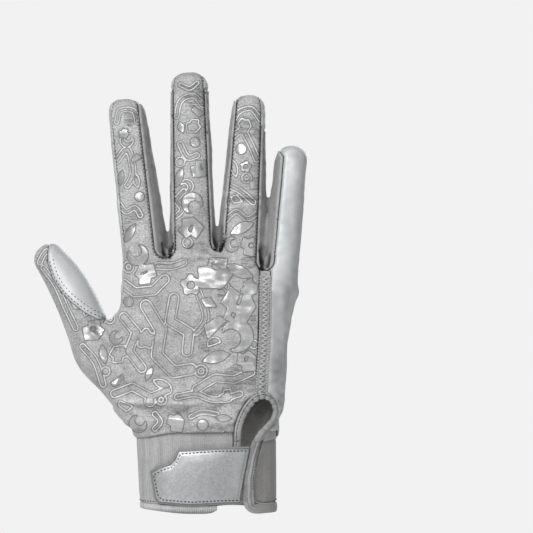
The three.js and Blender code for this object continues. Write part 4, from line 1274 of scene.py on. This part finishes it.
def around_cuff(turns):
    """The cuff ring's rounded square at turns of its ring, in x and y of size 1."""
    c, s = np.cos(turns), np.sin(turns)
    power = 2 / SQUARENESS
    return np.sign(c) * np.abs(c) ** power, np.sign(s) * np.abs(s) ** power


def cuff_ring(z, turns, off=0.0):
    """Points around the cuff at height z, off its face."""
    centre, half, back, palm = (v[0] for v in cuff_at(z))
    c, s = around_cuff(turns)
    depth = np.where(s < 0, back, palm) + off
    return np.column_stack([centre + c * (half + off), s * depth, np.full(len(turns), z)])


def cuff_grid(profile, sides=300):
    """Points of a band around the cuff from rows of (z, how far it stands off)."""
    turns = 2 * np.pi * np.arange(sides) / sides
    rings = np.array([cuff_ring(z, turns, off) for z, off in profile])
    middle = rings[len(rings) // 2]
    step = np.linalg.norm(np.roll(middle, -1, axis=0) - middle, axis=1)
    around = np.concatenate([[0], np.cumsum(step)[:-1]])
    verts = rings.reshape(-1, 3)
    quads = grid_faces(len(rings), sides)
    tris = np.concatenate([quads[:, [0, 1, 2]], quads[:, [0, 2, 3]]])
    return verts, tris, np.tile(around, len(rings))


GORE_OUTLINE = [
    (28.6, 37.6), (42, 39.2), (42, 5.4), (28.6, 5.4), (25.9, 6.4), (24.3, 10.2), (24.0, 16.6),
    (25.4, 25), (27.2, 33),
]
GORE_BORDER = [
    (29.4, 38.2), (27.6, 32.6), (26.5, 27.3), (25.1, 21.9), (24.3, 16.6), (23.8, 11.2), (24.5, 7.6),
    (26.6, 5.7), (30.4, 4.9), (34.5, 4.9),
]


def cuff_piece(name, verts, tris, around, fold, field, slot, nodes, sizes, wall, material, valley=0.5):
    cut, faces = clip(np.column_stack([verts, around, fold]), tris, field)
    points = cut[:, :3]
    distance = rim_distance(points, faces, 4.0)
    fall = valley * np.clip(1 - distance / 1.4, 0, 1) ** 2
    points = points - vertex_normals(points, faces) * fall[:, None]
    obj = new_object(name, points, faces, FINISHES[material])
    store(obj, "around", cut[:, 3])
    store(obj, "fold", cut[:, 4])
    store(obj, "rim", distance)
    return finish_panel(obj, sizes, slot, *nodes, wall=wall)


HEM_TOP = 5.3
HEM_PROFILE = [
    # height, and how far the hem's roll stands off the cuff
    (HEM_TOP, -0.7), (5.0, -0.15), (4.8, 0.1), (4.4, 0.28), (3.6, 0.36), (2.6, 0.38), (1.6, 0.34),
    (0.8, 0.18), (0.25, -0.15), (0.05, -0.6), (0.05, -1.1),
]
# from one ripple of the cuff's cloth to the next, broad and fine
RIPPLE_PITCHES = (6.4, 3.7)


def make_cuff(sizes):
    # on the palm side the knit runs on inside the hand, as a facing
    top, facing_top = WRIST_SEAM + 6, WRIST_SEAM + 27
    heights = np.linspace(4.9, facing_top, 100)
    rows = [(z, -1.4 * float(smoothstep(WRIST_SEAM, facing_top, z))) for z in heights]
    verts, tris, around = cuff_grid(rows)
    x, y, z = verts.T
    normals = vertex_normals(verts, tris)
    soft = 0.12 + 0.34 * smoothstep(-8, -26, x)
    broad, fine = (around * 2 * np.pi / pitch for pitch in RIPPLE_PITCHES)
    ribs = soft * np.sin(broad + 0.9 * np.sin(z * 0.14)) + 0.1 * np.sin(fine + 1)
    ribs *= 0.6 * smoothstep(4.9, 11, z) * smoothstep(top, 36, z)
    verts = verts + normals * ribs[:, None]
    slit = slit_field(x, y, z)
    gore = np.maximum(signed_distance(GORE_OUTLINE, x, z), y - 3)
    above = z - lerp(top, facing_top - 1, smoothstep(-3, 6, y))
    for name, material, field in (
        ("cuff_knit_band", "cuff_knit", np.maximum.reduce([CUFF_GAP - slit, CUFF_GAP - gore, above])),
        ("cuff_gore", "gore_fabric", np.maximum.reduce([CUFF_GAP - slit, gore + CUFF_GAP, above])),
    ):
        cuff_piece(
            name, verts, tris, around, 1.6 * ribs, field, "cuff_knit", ["cuff_band"], sizes, 1.2,
            material
        )
    dense = []
    for (z0, o0), (z1, o1) in zip(HEM_PROFILE[:-1], HEM_PROFILE[1:]):
        dense += [(lerp(z0, z1, t), lerp(o0, o1, t)) for t in (0, 0.33, 0.67)]
    verts, tris, around = cuff_grid((dense + [HEM_PROFILE[-1]])[::-1], 360)
    # the roll is lower at the cuff's sides
    lower = 1 - 0.34 * smoothstep(10, 37, np.abs(verts[:, 0]))
    verts[:, 2] = HEM_TOP - (HEM_TOP - verts[:, 2]) * lower
    x, y, z = verts.T
    slit = slit_field(x, y, z)
    right_end = np.maximum(y - 5, 5 - x)
    rise = np.where((y < 0) & (x > -6) & (x < 14), 5.2 * smoothstep(-4, 10.5, x) ** 2.2, -1) - z
    # the palm side's edge lifts a little under the strap
    lift = np.where(y > 0, 1.5 * smoothstep(-6, 12, x) * smoothstep(32, 16, x), -1) - z
    field = np.maximum.reduce([0.1 - slit, -right_end, rise, lift])
    flat = 0 * around
    cuff_piece(
        "cuff_hem_roll", verts, tris, around, flat, field, "hem_rib", ["cuff_hem"], sizes, 0.9,
        "hem_rib", 0.2
    )


def surface_normal(x, z):
    step = 1.0
    slope_x = (back_y(x + step, z) - back_y(x - step, z)) / (2 * step)
    return np.column_stack([slope_x, -np.ones_like(x), np.zeros_like(x)])


class Binding:
    """The binding's middle line, its frame and its half sizes, kept for its stitches."""

    length = middle = way = across = outward = wide = deep = None


# where the binding is gathered: place along it, reach and strength
GATHERS = ((62, 13, 1), (92, 7, 0.45))
NOTCH_PITCH = 3.7
# its thin end runs on around the cuff's edge at this height
TAIL_HEIGHT, TAIL_WIDTH = 2.4, 1.28


def make_binding():
    middle, wide, thick, length = binding_path(190)
    ends = [(22.4, 4.3), (24.4, 2.9), (27.5, 2.45), (29.5, TAIL_HEIGHT)]
    tail = rounded_path([(middle[-1, 0], middle[-1, 2]), *ends], 10)[1:]
    lift = np.linspace(1.25, 0.0, len(tail))
    tail_points = np.column_stack([tail[:, 0], back_y(tail[:, 0], tail[:, 1]) - lift, tail[:, 1]])
    turns = np.radians(np.linspace(-35, 16, 26))
    corner = cuff_ring(TAIL_HEIGHT, turns)
    half, back = (v[0] for v in cuff_at(TAIL_HEIGHT)[1:3])
    c, s = around_cuff(turns)
    corner_out = np.column_stack([c**1.5 / half, np.sign(s) * np.abs(s) ** 1.5 / back, 0 * s])
    flat_out = [surface_normal(middle[:, 0], middle[:, 2]), surface_normal(tail[:, 0], tail[:, 1])]
    outward = unit(np.concatenate([*flat_out, corner_out]))
    middle = np.concatenate([middle, tail_points, corner])
    wide, thick = (
        np.concatenate([v, np.linspace(v[-1], end, len(tail)), np.full(len(turns), last)])
        for v, end, last in ((wide, TAIL_WIDTH, TAIL_WIDTH), (thick, 0.45, 0.4))
    )
    length = np.concatenate([[0], np.cumsum(np.linalg.norm(np.diff(middle, axis=0), axis=1))])
    even = np.linspace(0, length[-1], 380)
    table = through(np.column_stack([length, middle, wide, thick, outward]), even)
    middle, wide, thick, outward = table[:, :3], table[:, 3], table[:, 4], table[:, 5:]
    way = unit(np.gradient(middle, axis=0))
    outward = unit(outward - way * (outward * way).sum(axis=1)[:, None])
    gather = sum(strength * bell(even, at, reach) for at, reach, strength in GATHERS)
    notch = gather * (0.5 + 0.5 * np.cos(even * 2 * np.pi / NOTCH_PITCH)) ** 3
    pucker = 1 + 0.12 * gather - 0.75 * notch + 0.04 * np.sin(even * 2 * np.pi / 5.3)
    widen = 1 + 0.1 * gather
    Binding.length, Binding.middle, Binding.way, Binding.outward = even, middle, way, outward
    Binding.across = np.cross(outward, way)
    Binding.wide, Binding.deep = widen * wide * BINDING_WIDTH / 2, thick * BINDING_THICKNESS / 2
    c, s = round_square(48, BINDING_SQUARENESS, 0.5)
    split = smoothstep(95, 102, even)
    rings = []
    rows = zip(middle, Binding.across, outward, Binding.wide, Binding.deep, pucker, notch, split)
    for m, a, o, w, d, p, n, two in rows:
        groove = 0.42 * bell(c, 0.4, 0.1) + two * 0.4 * bell(c, -0.32, 0.1)
        sideways = c * w * np.where(c < 0, 1 - 0.35 * n, 1 - 0.06 * n)
        upwards = s * (1 - groove * (s > 0)) * d * p
        rings.append(m + np.outer(sideways, a) + np.outer(upwards, o))
    obj = tube("slit_piping", rings, FINISHES["binding_tape"])
    smooth(obj, 60)
    keep(obj, "binding_tape", "slit_binding")


def on_binding(start, end, pitch, across, lift=0.0):
    """Places, ways along and normals on the binding, across half widths off its middle."""
    at = np.arange(start, end, pitch)
    place, way, side, out = (
        np.column_stack([np.interp(at, Binding.length, table[:, k]) for k in range(3)])
        for table in (Binding.middle, Binding.way, Binding.across, Binding.outward)
    )
    wide, deep = (np.interp(at, Binding.length, v)[:, None] for v in (Binding.wide, Binding.deep))
    up = (1 - abs(across) ** BINDING_SQUARENESS) ** (1 / BINDING_SQUARENESS)
    normal = unit(side * across + out * up)
    return place + side * across * wide + out * (up * deep + lift), way, side, normal


def strap_edge(grow):
    outline = STRAP_OUTLINE * (HALF_WRIST, WRIST_SEAM)
    centre = np.array([-0.15 * HALF_WRIST, 0.5 * WRIST_SEAM])
    away = outline - centre
    outline = outline + np.sign(away) * grow * np.column_stack(
        [outline[:, 0] < centre[0], np.ones(len(outline))]
    )
    right = [(22.4, outline[-1][1]), (20.9, 27.3), (19.3, 19.3), (17.8, 11.2), (17.2, outline[0][1])]
    return [tuple(p) for p in outline] + right


# the strap lies as deep as the cuff's back does at this height
STRAP_LEVEL = 20.0
STRAP_RISE, STRAP_THICKNESS = 3.15, 0.9


def layer_patch(name, outline, rise, thickness, material, round_off, step=0.55, puff=0.0, sewn=0.0):
    """A sheet that follows the cuff's back, rise above it, drawn in along a seam inside its rim."""
    outline = np.asarray(outline)
    low, high = outline.min(axis=0) - 1, outline.max(axis=0) + 1
    nx, nz = (int((h - l) / step) + 2 for l, h in zip(low, high))
    x, z = np.meshgrid(np.linspace(low[0], high[0], nx), np.linspace(low[1], high[1], nz))
    verts = np.column_stack([x.ravel(), np.zeros(nx * nz), z.ravel()])
    quads = grid_faces(nz, nx, closed=False)
    tris = np.concatenate([quads[:, [0, 1, 2]], quads[:, [0, 2, 3]]])
    verts, tris = clip(verts, tris, signed_distance(outline, verts[:, 0], verts[:, 2]))
    distance = rim_distance(verts, tris)
    fall = round_off * np.clip(1 - distance / (2.2 * round_off), 0, 1) ** 2
    fall += sewn * bell(distance, 1.25, 0.5)
    aside, up = ((2 * (verts[:, [0, 2]] - (low + high) / 2)) / (high - low)).T
    pillow = 2.2 * np.clip(1 - aside**2, 0, 1) * np.clip(1 - up**2, 0, 1)
    swell = puff * (0.5 * smoothstep(0.5, 6, distance) + pillow)
    verts[:, 1] = back_y(verts[:, 0], STRAP_LEVEL) - rise - thickness + fall - swell
    obj = new_object(name, verts, tris, material)
    store(obj, "rim", distance)
    solidify(obj, thickness)
    smooth(obj, 60)
    return obj


def make_strap():
    hook = [(-23, 10), (4, 10), (4, 21.5), (-23, 21.5)]
    cover = {"step": 0.45, "puff": 0.3, "sewn": 0.17}
    for name, slot, node, outline, rise, thickness, round_off, more in (
        ("hook_pad", "hook_fastener", "hook_patch", hook, 0.3, 1.1, 0.3, {}),
        ("strap_webbing", "strap_fabric", "strap_base", strap_edge(0.9), 1.8, 1.2, 0.5, {"puff": 0.1}),
        (
            "strap_cover", "strap_silver", "strap_face", strap_edge(0), STRAP_RISE, STRAP_THICKNESS,
            0.5, cover
        ),
    ):
        sheet = layer_patch(name, outline, rise, thickness, FINISHES[slot], round_off, **more)
        keep(sheet, slot, node)


def even_points(path, pitch):
    path = np.asarray(path, float)
    step = np.linalg.norm(np.diff(path, axis=0), axis=1)
    length = np.concatenate([[0], np.cumsum(step)])
    at = np.arange(pitch / 2, length[-1], pitch)
    return np.column_stack([np.interp(at, length, path[:, k]) for k in range(path.shape[1])])


def one_stitch():
    """One stitch, 1 long and 1 across: a ball drawn out into a short rounded thread."""
    bpy.ops.mesh.primitive_uv_sphere_add(
        segments=7, ring_count=6, radius=0.5 * MM, rotation=(0, math.pi / 2, 0)
    )
    ball = bpy.context.object
    bpy.ops.object.transform_apply(location=False, rotation=True, scale=False)
    verts = np.array([v.co for v in ball.data.vertices]) / MM
    verts[:, 0] = np.sign(verts[:, 0]) * 0.5 * (np.abs(verts[:, 0]) * 2) ** 0.6
    faces = [list(p.vertices) for p in ball.data.polygons]
    bpy.data.objects.remove(ball)
    return verts, faces


def sew(name, places, ways, normals, length, thick, material, slot="seam_tape_fabric"):
    """Copies of the stitch laid at places, along ways."""
    verts, faces = one_stitch()
    all_verts, all_faces = [], []
    for i, (p, w, n) in enumerate(zip(places, ways, normals)):
        n = unit(n)
        w = unit(w - n * w.dot(n))
        b = np.cross(n, w)
        all_verts.append(p + verts * (length, thick, thick) @ np.array([w, b, n]))
        all_faces += [[v + i * len(verts) for v in f] for f in faces]
    obj = new_object(name, np.concatenate(all_verts), all_faces, material)
    smooth(obj, 180)
    return keep(obj, slot)


def seam_row(
    name, path, pitch, length, thick, lift, material, side=-1, slot="heather_fabric", tilt=0.0
):
    """Stitches along a line on the skin, each turned by tilt out of the line's way."""
    hits = [on_skin(x, z, lift, side) for x, z in even_points(path, pitch)]
    places, normals = (np.array(v) for v in zip(*(hit for hit in hits if hit)))
    ways = unit(np.gradient(places, axis=0))
    ways = ways * math.cos(tilt) + np.cross(normals, ways) * math.sin(tilt)
    return sew(name, places, ways, normals, length, thick, material, slot)


def make_stitches(sizes):
    pitch = sizes.stitch_pitch / MM
    dark, light = FINISHES["thread"], FINISHES["thread_light"]
    path = [p for p in back_outline(-0.85) if p[1] > 119]
    seam_row("stitches_fingers", path, pitch, 1.05, 0.58, -0.2, dark)
    for number, inset in ((1, 1.3), (2, 3.1)):
        seam = [thumb_place(*row) for row in LEAF_SEAM[1:-1]]
        leaf = rounded_path([(x + inset, z + inset * 0.7) for x, _, z in seam], 5)
        seam_row(
            "stitches_leaf_%d" % number, leaf, pitch * 1.1, 1.1, 0.5, -0.05, dark, slot="pearl_silver"
        )
    # the side tape's zigzag, and a row along each of its edges
    heights = np.arange(63, WEBS[2] - 1.5, ZIGZAG_PITCH)
    zig = [(tape_x(z) + (1.2 if i % 2 else TAPE_WIDTH - 1.2), z) for i, z in enumerate(heights)]
    ends, normals = (np.array(v) for v in zip(*(on_skin(x, z, 0.35) for x, z in zig)))
    sew(
        "stitches_tape", (ends[1:] + ends[:-1]) / 2, np.diff(ends, axis=0), normals[1:], 3.5, 1.0, light
    )
    for side, across, tilt in (("left", 0.02, 0.5), ("right", TAPE_WIDTH - 0.02, -0.5)):
        line = [(tape_x(z) + across, z) for z in heights]
        seam_row(
            "stitches_tape_" + side, line, 1.5, 1.45, 0.75, 0.3, light, slot="seam_tape_fabric",
            tilt=tilt
        )
    path = [p for p in palm_outline(-1.1) if p[1] > 128]
    seam_row("stitches_palm", path, pitch, 1.05, 0.5, -0.15, dark, side=1, slot="pearl_silver")
    # the hem's row, around the cuff but for the slit and what lies on it
    height = 6.3
    places = even_points(cuff_ring(height, np.linspace(0, 2 * np.pi, 400), 0.15), pitch)
    ways = np.gradient(places, axis=0)
    free = (places[:, 1] > 0) | (places[:, 0] < 14) | (places[:, 0] > 34)
    out = np.column_stack([places[:, 0] - cuff_at(height)[0][0], places[:, 1] * 1.8, 0 * places[:, 0]])
    sew("stitches_hem", places[free], ways[free], out[free], 1.15, 0.5, dark, "cuff_knit")

    face = strap_edge(-1.25)
    points = even_points([(16.4, face[0][1])] + face[:11] + [(21.0, face[10][1])], pitch)
    y = back_y(points[:, 0], STRAP_LEVEL) - STRAP_RISE - STRAP_THICKNESS - 0.12
    places = np.column_stack([points[:, 0], y, points[:, 1]])
    ways, out = np.gradient(places, axis=0), surface_normal(points[:, 0], STRAP_LEVEL)
    sew("stitches_strap", places, ways, out, 1.25, 0.72, dark, "strap_silver")
    for name, start, end, step, across, lift, size, turned in (
        ("stitches_binding", 24, 79, pitch, 0.4, -0.3, (1.15, 0.5), False),
        ("stitches_whip", 100, 133, 0.95, -0.78, 0.05, (1.8, 0.34), True),
        ("stitches_ridge", 98, 127, 1.5, 0.62, 0.05, (1.2, 0.5), False),
    ):
        places, way, side, normals = on_binding(start, end, step, across, lift)
        sew(name, places, side + 0.25 * way if turned else way, normals, *size, dark, "binding_tape")


def make_gore_cord():
    """The piping sewn down along the gore's edge."""
    border = rounded_path(GORE_BORDER, 12)
    x, z = border.T
    places = np.column_stack([x, back_y(x, z) - 0.25, z])
    way, out = unit(np.gradient(places, axis=0)), unit(surface_normal(x, z))
    c, s = (v[:, None] for v in round_square(12, 2.0))
    rings = places[:, None] + 0.55 * (c * np.cross(out, way)[:, None] + s * out[:, None])
    cord = tube("gore_cord", rings, FINISHES["binding_tape"])
    keep(cord, "binding_tape")
    smooth(cord, 60)


# the square photo's side in pixels, millimetres for each pixel, and where x = z = 0 lies in it
PHOTO_SIDE, PHOTO_SCALE = 533, 0.535
ZERO_COLUMN, ZERO_ROW = 208.5, 511


def make_stage(colors):
    bpy.ops.object.select_all(action="DESELECT")
    bpy.ops.mesh.primitive_plane_add(size=5, location=(0, 0, -0.32))
    floor = bpy.context.object
    floor.name = "floor"
    paper = Finish("stage_paper", Roughness=0.9)
    tone = paper.ramp(paper.noise(60, detail=1.0), 0.2, 0.8, 0.985, 1.0)
    paper.wear(paper.mix(tone, (0, 0, 0), gray(0.86)), None)
    floor.data.materials.append(paper.material)

    world = bpy.data.worlds.new("pale_studio")
    bpy.context.scene.world = world
    world.use_nodes = True
    tree = world.node_tree
    tree.nodes.clear()
    seen, lit = (tree.nodes.new("ShaderNodeBackground") for _ in range(2))
    seen.inputs[0].default_value = (0.887, 0.887, 0.887, 1)
    lit.inputs[0].default_value = (0.8, 0.81, 0.82, 1)
    lit.inputs[1].default_value = colors.room_light
    ray, mix, out = (
        tree.nodes.new(k)
        for k in ("ShaderNodeLightPath", "ShaderNodeMixShader", "ShaderNodeOutputWorld")
    )
    tree.links.new(ray.outputs["Is Camera Ray"], mix.inputs[0])
    tree.links.new(lit.outputs[0], mix.inputs[1])
    tree.links.new(seen.outputs[0], mix.inputs[2])
    tree.links.new(mix.outputs[0], out.inputs[0])

    lamps = {
        # name: (place, aimed at, width, height, power)
        "key": ((-0.8, -1.15, 0.8), (-0.01, 0, 0.12), 0.5, 0.7, 14.8),
        "glint": ((-0.16, -1.35, 0.46), (-0.01, 0, 0.1), 0.2, 0.24, 3.4),
        "fill": ((0.7, -1.3, 0.3), (0, 0, 0.12), 0.5, 1.0, 2.5),
        "top": ((0.0, -0.3, 1.3), (0, 0, 0.12), 1.0, 0.5, 4),
        "back": ((0.5, 1.3, 0.7), (0, 0, 0.12), 0.6, 0.8, 8),
        "back_left": ((-0.6, 1.3, 0.3), (0, 0, 0.12), 0.4, 1.0, 5),
    }
    for name, (place, target, width, height, power) in lamps.items():
        light = bpy.data.lights.new(name, "AREA")
        light.shape = "RECTANGLE"
        light.size, light.size_y, light.energy = width, height, power
        lamp = bpy.data.objects.new(name, light)
        lamp.location = place
        lamp.rotation_euler = (Vector(target) - Vector(place)).to_track_quat("-Z", "Y").to_euler()
        bpy.context.scene.collection.objects.link(lamp)
    camera = bpy.data.cameras.new("camera")
    camera.lens = 200
    eye = bpy.data.objects.new("camera", camera)
    middle = PHOTO_SIDE / 2
    distance = middle * PHOTO_SCALE * MM / math.tan(camera.angle / 2)
    x, z = (middle - ZERO_COLUMN) * PHOTO_SCALE * MM, (ZERO_ROW - middle) * PHOTO_SCALE * MM
    eye.location = (x, -distance, z)
    eye.rotation_euler = (math.pi / 2, 0, 0)
    bpy.context.scene.collection.objects.link(eye)
    bpy.context.scene.camera = eye
    bpy.context.scene.view_settings.view_transform = "Standard"


# The add-on
def length(name, description, default):
    return bpy.props.FloatProperty(
        name=name, description=description, default=default, min=0, precision=5, unit="LENGTH",
        subtype="DISTANCE"
    )


def color(name, description, default):
    return bpy.props.FloatVectorProperty(
        name=name, description=description, default=default, size=3, min=0, max=1, subtype="COLOR"
    )


class GloveSizes(bpy.types.PropertyGroup):
    """Sizes of the cloth and its seams."""

    fineness: bpy.props.FloatProperty(
        name="Fineness", description="Grid of the skin in millimetres", default=0.85, min=0.4, max=3
    )
    wall: length("Wall", "Thickness of cloth and leather", 0.0011)
    seam_depth: length("Seam depth", "How deep the cloth is drawn in along a seam", 0.0008)
    stitch_pitch: length("Stitch pitch", "From one stitch to the next", 0.00195)


class GloveColors(bpy.types.PropertyGroup):
    """Colours of the glove's finishes."""

    cloth: color("Cloth", "Heather knit on the back", gray(0.365))
    film: color("Film", "Silver print on the cloth", gray(0.39))
    leather: color("Leather", "Pearl silver palm", (0.5, 0.512, 0.52))
    gusset: color("Side strips", "Plain knit between the fingers", gray(0.21))
    binding: color("Binding", "Rolled tape around the wrist slit", gray(0.29))
    gore: color("Gore", "Elastic beside the slit", gray(0.245, 0.02))
    lining: color("Lining", "Inside of the glove", gray(0.26, 0.02))
    thread: color("Thread", "Dark sewing thread", gray(0.045))
    room_light: bpy.props.FloatProperty(
        name="Room light", description="Strength of the even light", default=0.3, min=0
    )


class GLOVE_OT_finishes(bpy.types.Operator):
    """Make the materials"""

    bl_idname = "glove.finishes"
    bl_label = "Finishes"
    bl_options = {"REGISTER", "UNDO"}

    def execute(self, context):
        make_finishes(context.scene.glove_colors)
        return {"FINISHED"}


class GLOVE_OT_panels(bpy.types.Operator):
    """Lay the skin over the hand and cut it into its sewn panels"""

    bl_idname = "glove.panels"
    bl_label = "Panels"
    bl_options = {"REGISTER", "UNDO"}

    def execute(self, context):
        sizes = context.scene.glove_sizes
        lay_skin(sizes)
        make_panels(sizes)
        return {"FINISHED"}


class GLOVE_OT_cuff(bpy.types.Operator):
    """Make the knitted cuff, its elastic gore and its hem"""

    bl_idname = "glove.cuff"
    bl_label = "Cuff"
    bl_options = {"REGISTER", "UNDO"}

    def execute(self, context):
        make_cuff(context.scene.glove_sizes)
        return {"FINISHED"}


class GLOVE_OT_binding(bpy.types.Operator):
    """Roll the binding around the wrist slit"""

    bl_idname = "glove.binding"
    bl_label = "Binding"
    bl_options = {"REGISTER", "UNDO"}

    def execute(self, context):
        make_binding()
        return {"FINISHED"}


class GLOVE_OT_strap(bpy.types.Operator):
    """Lay the strap and its fastener on the cuff"""

    bl_idname = "glove.strap"
    bl_label = "Strap"
    bl_options = {"REGISTER", "UNDO"}

    def execute(self, context):
        make_strap()
        return {"FINISHED"}


class GLOVE_OT_stitches(bpy.types.Operator):
    """Sew the seams"""

    bl_idname = "glove.stitches"
    bl_label = "Stitches"
    bl_options = {"REGISTER", "UNDO"}

    def execute(self, context):
        make_stitches(context.scene.glove_sizes)
        make_gore_cord()
        return {"FINISHED"}


class GLOVE_OT_stage(bpy.types.Operator):
    """Set up the floor, the light and the camera"""

    bl_idname = "glove.stage"
    bl_label = "Stage"
    bl_options = {"REGISTER", "UNDO"}

    def execute(self, context):
        make_stage(context.scene.glove_colors)
        return {"FINISHED"}


OPERATORS = (
    GLOVE_OT_finishes, GLOVE_OT_panels, GLOVE_OT_cuff, GLOVE_OT_binding, GLOVE_OT_strap,
    GLOVE_OT_stitches, GLOVE_OT_stage,
)


class GLOVE_PT_panel(bpy.types.Panel):
    """The glove's sizes, colours and steps"""

    bl_label = "Catching glove"
    bl_idname = "GLOVE_PT_panel"
    bl_space_type = "VIEW_3D"
    bl_region_type = "UI"
    bl_category = "Glove"

    def draw(self, context):
        for group in (context.scene.glove_sizes, context.scene.glove_colors):
            box = self.layout.box()
            for key in group.__annotations__:
                box.prop(group, key)
        for operator in OPERATORS:
            self.layout.operator(operator.bl_idname)


CLASSES = (GloveSizes, GloveColors, *OPERATORS, GLOVE_PT_panel)


def register():
    for cls in CLASSES:
        bpy.utils.register_class(cls)
    bpy.types.Scene.glove_sizes = bpy.props.PointerProperty(type=GloveSizes)
    bpy.types.Scene.glove_colors = bpy.props.PointerProperty(type=GloveColors)


def unregister():
    del bpy.types.Scene.glove_sizes, bpy.types.Scene.glove_colors
    for cls in reversed(CLASSES):
        bpy.utils.unregister_class(cls)


def main():
    register()
    for operator in OPERATORS:
        getattr(bpy.ops.glove, operator.bl_idname.split(".")[1])()


if __name__ == "__main__":
    main()
